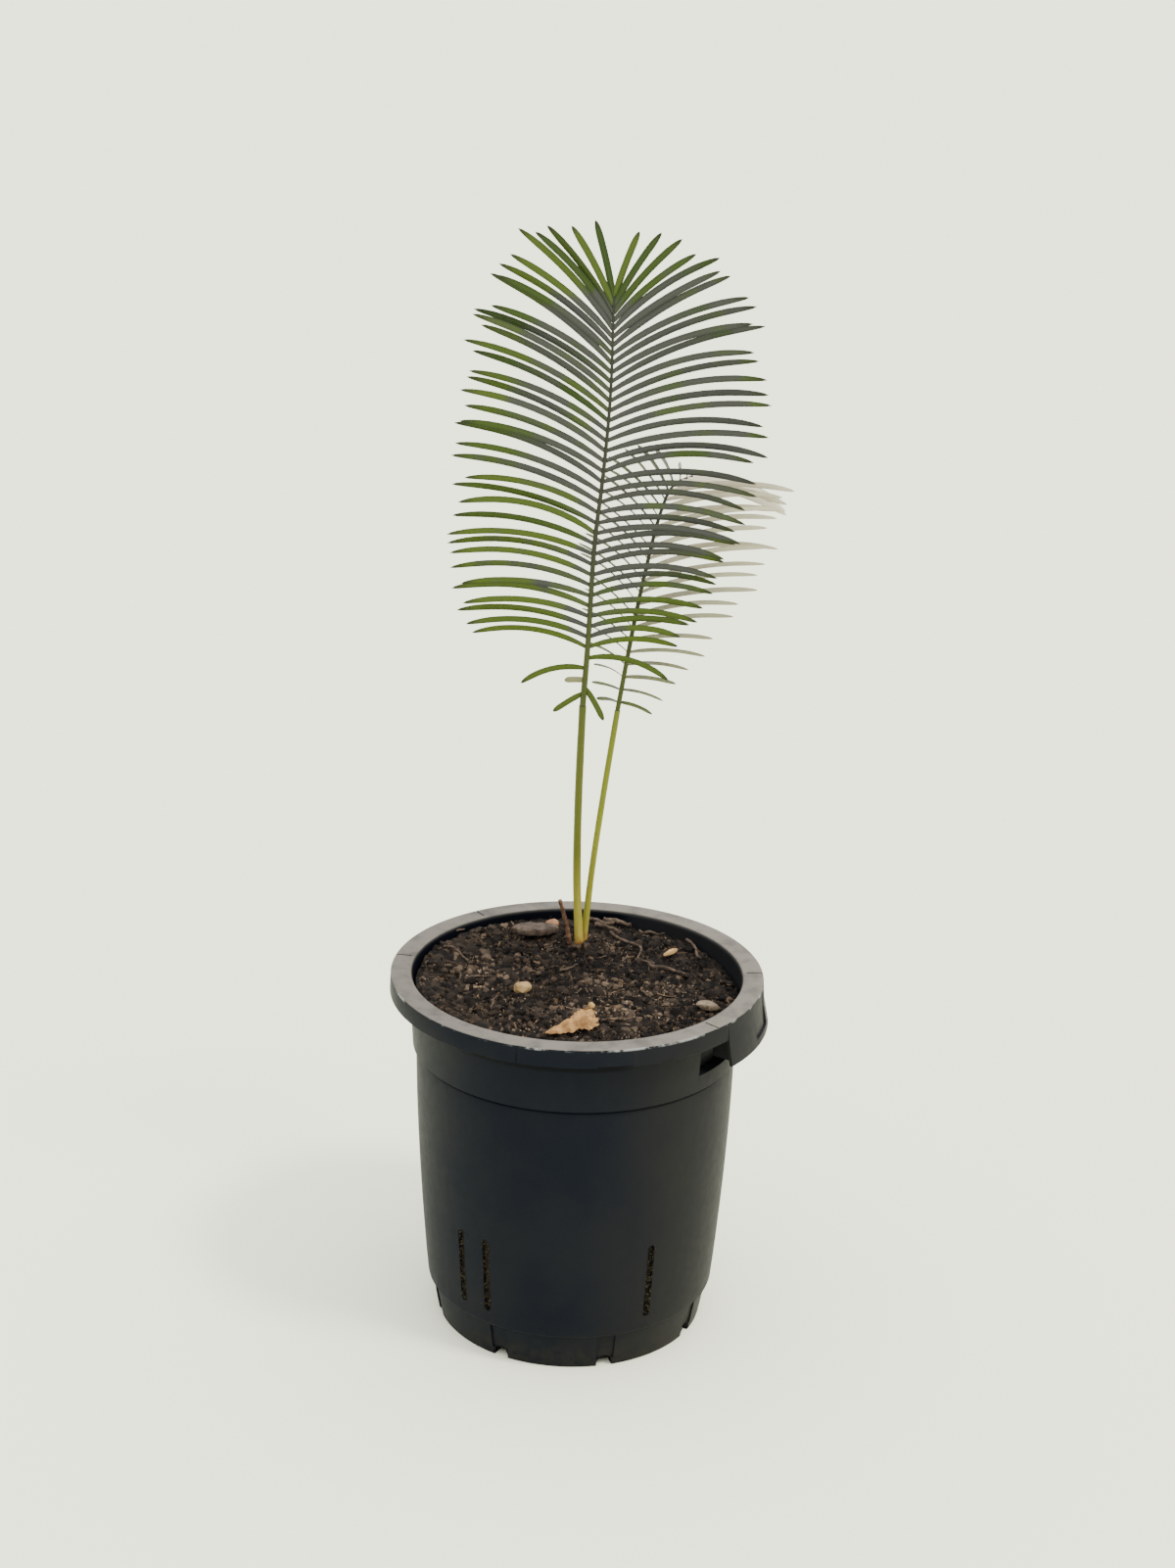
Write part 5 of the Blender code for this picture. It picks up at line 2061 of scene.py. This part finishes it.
@dataclass
class Litter:
    """The bark chip, stones, wood flake and dead leaf that lie on the soil."""

    soil: PottingMix
    clearance: float = 0.0003
    bank_share: float = 0.7

    def settled(self, obj: Object, place: tuple[float, float], footprint: Sequence[float],
                turn: float, rise: float) -> Object:
        """Turns a piece and lays it on the soil, in its mesh.

        Args:
            obj: The piece, made about the origin.
            place: Where its middle goes.
            footprint: Its length and breadth.
            turn: Its turn about Z.
            rise: How far its middle is above what it lies on.

        Returns:
            The piece.
        """
        heights = []
        for along in (-0.5, -0.25, 0.0, 0.25, 0.5):
            for across in (-0.4, 0.0, 0.4):
                offset = Vector((along * footprint[0], across * footprint[1], 0.0))
                offset.rotate(Quaternion(UP, turn))
                x, y = place[0] + offset.x, place[1] + offset.y
                heights.append(self.soil.level(x, y) + self.bank_share * self.soil.banked(x, y))
        level = max(heights) + self.clearance + rise
        obj.data.transform(Matrix.Translation((*place, level)) @ Matrix.Rotation(turn, 4, "Z"))
        return obj

    def stone(self, name: str, node: str, place: tuple[float, float], size: Point, turn: float,
              seed: int, finish: DryMatter, slot: str) -> None:
        """Builds one worn stone or flake.

        Args:
            name: The piece's name.
            node: The solid that it replaces, if any.
            place: Its middle.
            size: Its sizes.
            turn: Its turn about Z.
            seed: Seed of its lumps.
            finish: Its finish.
            slot: Its material slot.
        """
        draw = random.Random(seed)
        bm = bmesh.new()
        bmesh.ops.create_icosphere(bm, subdivisions=5, radius=0.5)
        shift = Vector((draw.uniform(-9, 9), draw.uniform(-9, 9), seed))
        facets = [Vector([draw.gauss(0, 1) for _ in range(3)]).normalized() for _ in range(9)]
        for vertex in bm.verts:
            for facet in facets:
                over = vertex.co.dot(facet) - 0.40
                if over > 0:
                    vertex.co -= facet * over * 0.75
            vertex.co *= 0.97 + 0.05 * noise.fractal(vertex.co * 3 + shift, 0.8, 2.0, 4)
            vertex.co.z = max(vertex.co.z, -0.28)
        bmesh.ops.scale(bm, vec=size, verts=bm.verts)
        piece = self.settled(mesh_object(name, bm), place, [0.6 * side for side in size], turn,
                             0.28 * size[2])
        dressed(piece, finish.build(), slot, *([node] if node else []), sharp=35.0)

    def chip(self) -> None:
        """Builds the flat sliver of bark with its chipped outline and ridges."""
        length, breadth, thick = 0.0330, 0.0150, 0.0046
        draw, chips = random.Random(5), 28
        nudges = [1 + draw.uniform(-0.12, 0.12) for _ in range(chips)]
        rings = []
        layers = ((0.0, -0.5), (0.55, -0.5), (0.94, -0.5), (1.0, -0.15), (0.97, 0.3),
                  (0.86, 0.5), (0.45, 0.46), (0.0, 0.44))
        steps = 96
        for reach, z in layers:
            ring = []
            for step in range(steps):
                turn = step * tau / steps
                index = step / steps * chips
                low, high = nudges[int(index) % chips], nudges[(int(index) + 1) % chips]
                wave = low + (high - low) * (index - int(index))
                ring.append((0.5 * reach * wave * cos(turn), 0.5 * reach * wave * sin(turn), z))
            rings.append(ring)
        flat = skinned("flat_flake", rings, capped=False)
        bm = bmesh.new()
        bm.from_mesh(flat.data)
        dropped(flat)
        bmesh.ops.remove_doubles(bm, verts=bm.verts, dist=0.0001)
        bmesh.ops.scale(bm, vec=(length, breadth, thick), verts=bm.verts)
        for vertex in bm.verts:
            ridge = noise.noise(Vector((vertex.co.x * 90, vertex.co.y * 620, 3.0)))
            vertex.co.z += 0.0005 * ridge * (1 if vertex.co.z > 0 else 0.3)
        bmesh.ops.recalc_face_normals(bm, faces=bm.faces)
        piece = self.settled(mesh_object("bark_flake", bm), (-0.0310, 0.0825),
                             (length, breadth), radians(4), thick / 2)
        finish = DryMatter("bark", (0.128, 0.090, 0.064), (0.046, 0.030, 0.021), scale=210.0,
                           streak_scale=420.0, dust=0.05, relief=0.0007)
        dressed(piece, finish.build(), "woody", "bark_chip", sharp=40.0)

    def leaf(self) -> None:
        """Builds the dry leaf, curled along its length."""
        length, breadth, arch, lift, thick = 0.035, 0.0165, 0.0034, 0.0062, 0.0006
        bm = bmesh.new()
        bmesh.ops.create_grid(bm, x_segments=60, y_segments=26, size=0.5)
        for vertex in bm.verts:
            along, across = vertex.co.x, vertex.co.y
            taper = min(1.0, (along + 0.5) / 0.62) ** 0.8 * (1 - 0.25 * max(0.0, along)) + 0.05
            torn = noise.noise(Vector((3.0, across * 11, 0))) + 0.6 * noise.noise(
                Vector((1.0, across * 27, 4)))
            ragged = 1 + 0.30 * noise.noise(Vector((along * 13, copysign(3, across), 0)))
            crumple = 0.0027 * noise.fractal(Vector((along * 5, across * 4, 7)), 0.9, 2.1, 4)
            risen = max(0.0, along + 0.25) / 0.75
            vertex.co.x = length * (along + 0.24 * torn * max(0.0, along) ** 1.2)
            vertex.co.y = breadth * taper * ragged * (across + 0.12 * risen)
            vertex.co.z = (arch * taper * (1 - (2 * across) ** 2) + (crumple + 0.0008) * taper
                           + lift * risen ** 1.6 * (0.65 + across))
        piece = mesh_object("dry_leaf", bm)
        shell = piece.modifiers.new("Blade", "SOLIDIFY")
        shell.thickness = thick
        shell.offset = 1.0
        frozen(piece)
        self.settled(piece, (-0.0035, -0.0700), (length, breadth), radians(27), 0.0004)
        finish = DryMatter("dry leaf", (0.40, 0.225, 0.085), (0.165, 0.080, 0.028), scale=120.0,
                           streak_scale=260.0, streak_strength=0.4, dust=0.0, relief=0.0005)
        dressed(piece, finish.build(), "dry_leaf", "dead_leaf", sharp=50.0)

    def build(self) -> None:
        """Builds every piece of litter."""
        self.chip()
        self.leaf()
        tan = DryMatter("straw bits", (0.47, 0.30, 0.115), (0.24, 0.13, 0.045), scale=130.0,
                        streak_strength=0.2, dust=0.0)
        self.stone("straw_bit", "", (0.0640, 0.0575), (0.0150, 0.0042, 0.0040), 0.85, 6, tan,
                   "dry_leaf")
        self.stone("small_pebble", "", (0.0098, -0.0305), (0.0058, 0.0050, 0.0050), 0.2, 7, tan,
                   "pebble")
        self.stone("pale_pebble", "pale_stone", (-0.0365, -0.0080), (0.0128, 0.0105, 0.0092),
                   0.3, 3, DryMatter("tan stone", (0.42, 0.28, 0.125), (0.22, 0.125, 0.048),
                                     scale=110.0, streak_strength=0.15, dust=0.05), "pebble")
        self.stone("orange_pebble", "orange_stone", (-0.0190, 0.0950), (0.0100, 0.0080, 0.0070),
                   0.1, 4, DryMatter("orange stone", (0.34, 0.17, 0.085), (0.19, 0.085, 0.040),
                                     scale=150.0, streak_strength=0.15, dust=0.06), "pebble")
        self.stone("pale_flake", "wood_flake", (0.0870, -0.0290), (0.0175, 0.0085, 0.0070),
                   -0.35, 9, DryMatter("pale wood", (0.27, 0.205, 0.130), (0.070, 0.046, 0.028),
                                      scale=190.0, dust=0.1), "woody")


# ---------------- studio


@dataclass
class Studio:
    """The pale ground, the soft lights and the camera."""

    eye: Point = (0.0033, -1.5705, 0.9319)
    pitch: float = radians(19.305)
    roll: float = radians(1.6)
    lens: float = 58.46
    ground: float = 30.0
    tint: Colour = (0.72, 0.73, 0.565)
    horizon: float = 0.9
    zenith: float = 4.2
    sky_tint: Colour = (0.96, 0.98, 1.0)
    lamp_side: Point = (0.62, -0.35, 1.0)
    lamp_strength: float = 3.2
    lamp_spread: float = radians(12)
    lamp_tint: Colour = (1.0, 0.97, 0.92)

    def floor(self) -> None:
        """Lays the wide pale floor."""
        bm = bmesh.new()
        bmesh.ops.create_circle(bm, cap_ends=True, segments=96, radius=self.ground)
        floor = mesh_object("floor", bm)
        finish = Finish("pale ground")
        finish.set(Base_Color=self.tint, Roughness=0.95, Specular_IOR_Level=0.1)
        floor.data.materials.append(finish.material)

    def lamp(self) -> None:
        """Sets the one broad soft lamp, high at the front right."""
        data = bpy.data.lights.new("key", "SUN")
        data.energy = self.lamp_strength
        data.angle = self.lamp_spread
        data.color = self.lamp_tint
        turn = (-Vector(self.lamp_side)).to_track_quat("-Z", "Y")
        linked("key", data).matrix_world = turn.to_matrix().to_4x4()

    def sky(self) -> None:
        """Sets the pale surroundings, brighter overhead than at the horizon."""
        world = bpy.data.worlds.new("soft surroundings")
        world.use_nodes = True
        wiring = Wiring(world.node_tree)
        heading = wiring.add("ShaderNodeTexCoord").outputs["Generated"]
        glow = wiring.span(wiring.split(heading)[2], -0.05, 1.0, self.horizon, self.zenith)
        background = world.node_tree.nodes["Background"].inputs
        wiring.feed(background["Color"], self.sky_tint)
        wiring.feed(background["Strength"], glow)
        bpy.context.scene.world = world

    def camera(self) -> None:
        """Sets up the camera."""
        data = bpy.data.cameras.new("camera")
        data.sensor_fit = "VERTICAL"
        data.sensor_height = 36.0
        data.lens = self.lens
        camera = linked("camera", data)
        camera.matrix_world = (
            Matrix.Translation(self.eye)
            @ Matrix.Rotation(pi / 2 - self.pitch, 4, "X")
            @ Matrix.Rotation(self.roll, 4, "Z"))
        bpy.context.scene.camera = camera

    def build(self) -> None:
        """Builds the studio."""
        self.floor()
        self.sky()
        self.lamp()
        self.camera()


# ---------------- the whole plant


def main() -> None:
    """Builds the plant, piece by piece, and its studio."""
    logging.basicConfig(level=logging.INFO, format="%(message)s")
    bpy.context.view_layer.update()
    Studio().build()
    pot = NurseryPot()
    pot.build()
    soil = PottingMix(pot=pot)
    limbs = limb_tree()
    soil.build(limbs)
    CrownAndStalks().build(limbs)
    grower = FeatherFrond.tree()
    front_leaf = LeafSkin("front leaf", (0.058, 0.086, 0.0080), (0.0180, 0.034, 0.0050),
                          (0.038, 0.0390, 0.0375), (0.10, 0.125, 0.030), (0.46, 0.40, 0.27))
    back_leaf = LeafSkin("back leaf", (0.050, 0.072, 0.0060), (0.024, 0.038, 0.0045),
                         (0.037, 0.040, 0.034), (0.10, 0.120, 0.030), (0.64, 0.59, 0.46))
    rib = StalkSkin("midrib", ((0.0, (0.046, 0.054, 0.004)), (0.42, (0.036, 0.044, 0.006)),
                               (0.60, (0.020, 0.022, 0.013)), (1.0, (0.020, 0.021, 0.015))))
    FeatherFrond(FRONT_RULE, front_leaf, rib).build(grower)
    FeatherFrond(BACK_RULE, back_leaf, rib).build(grower)
    Litter(soil).build()


if __name__ == "__main__":
    main()
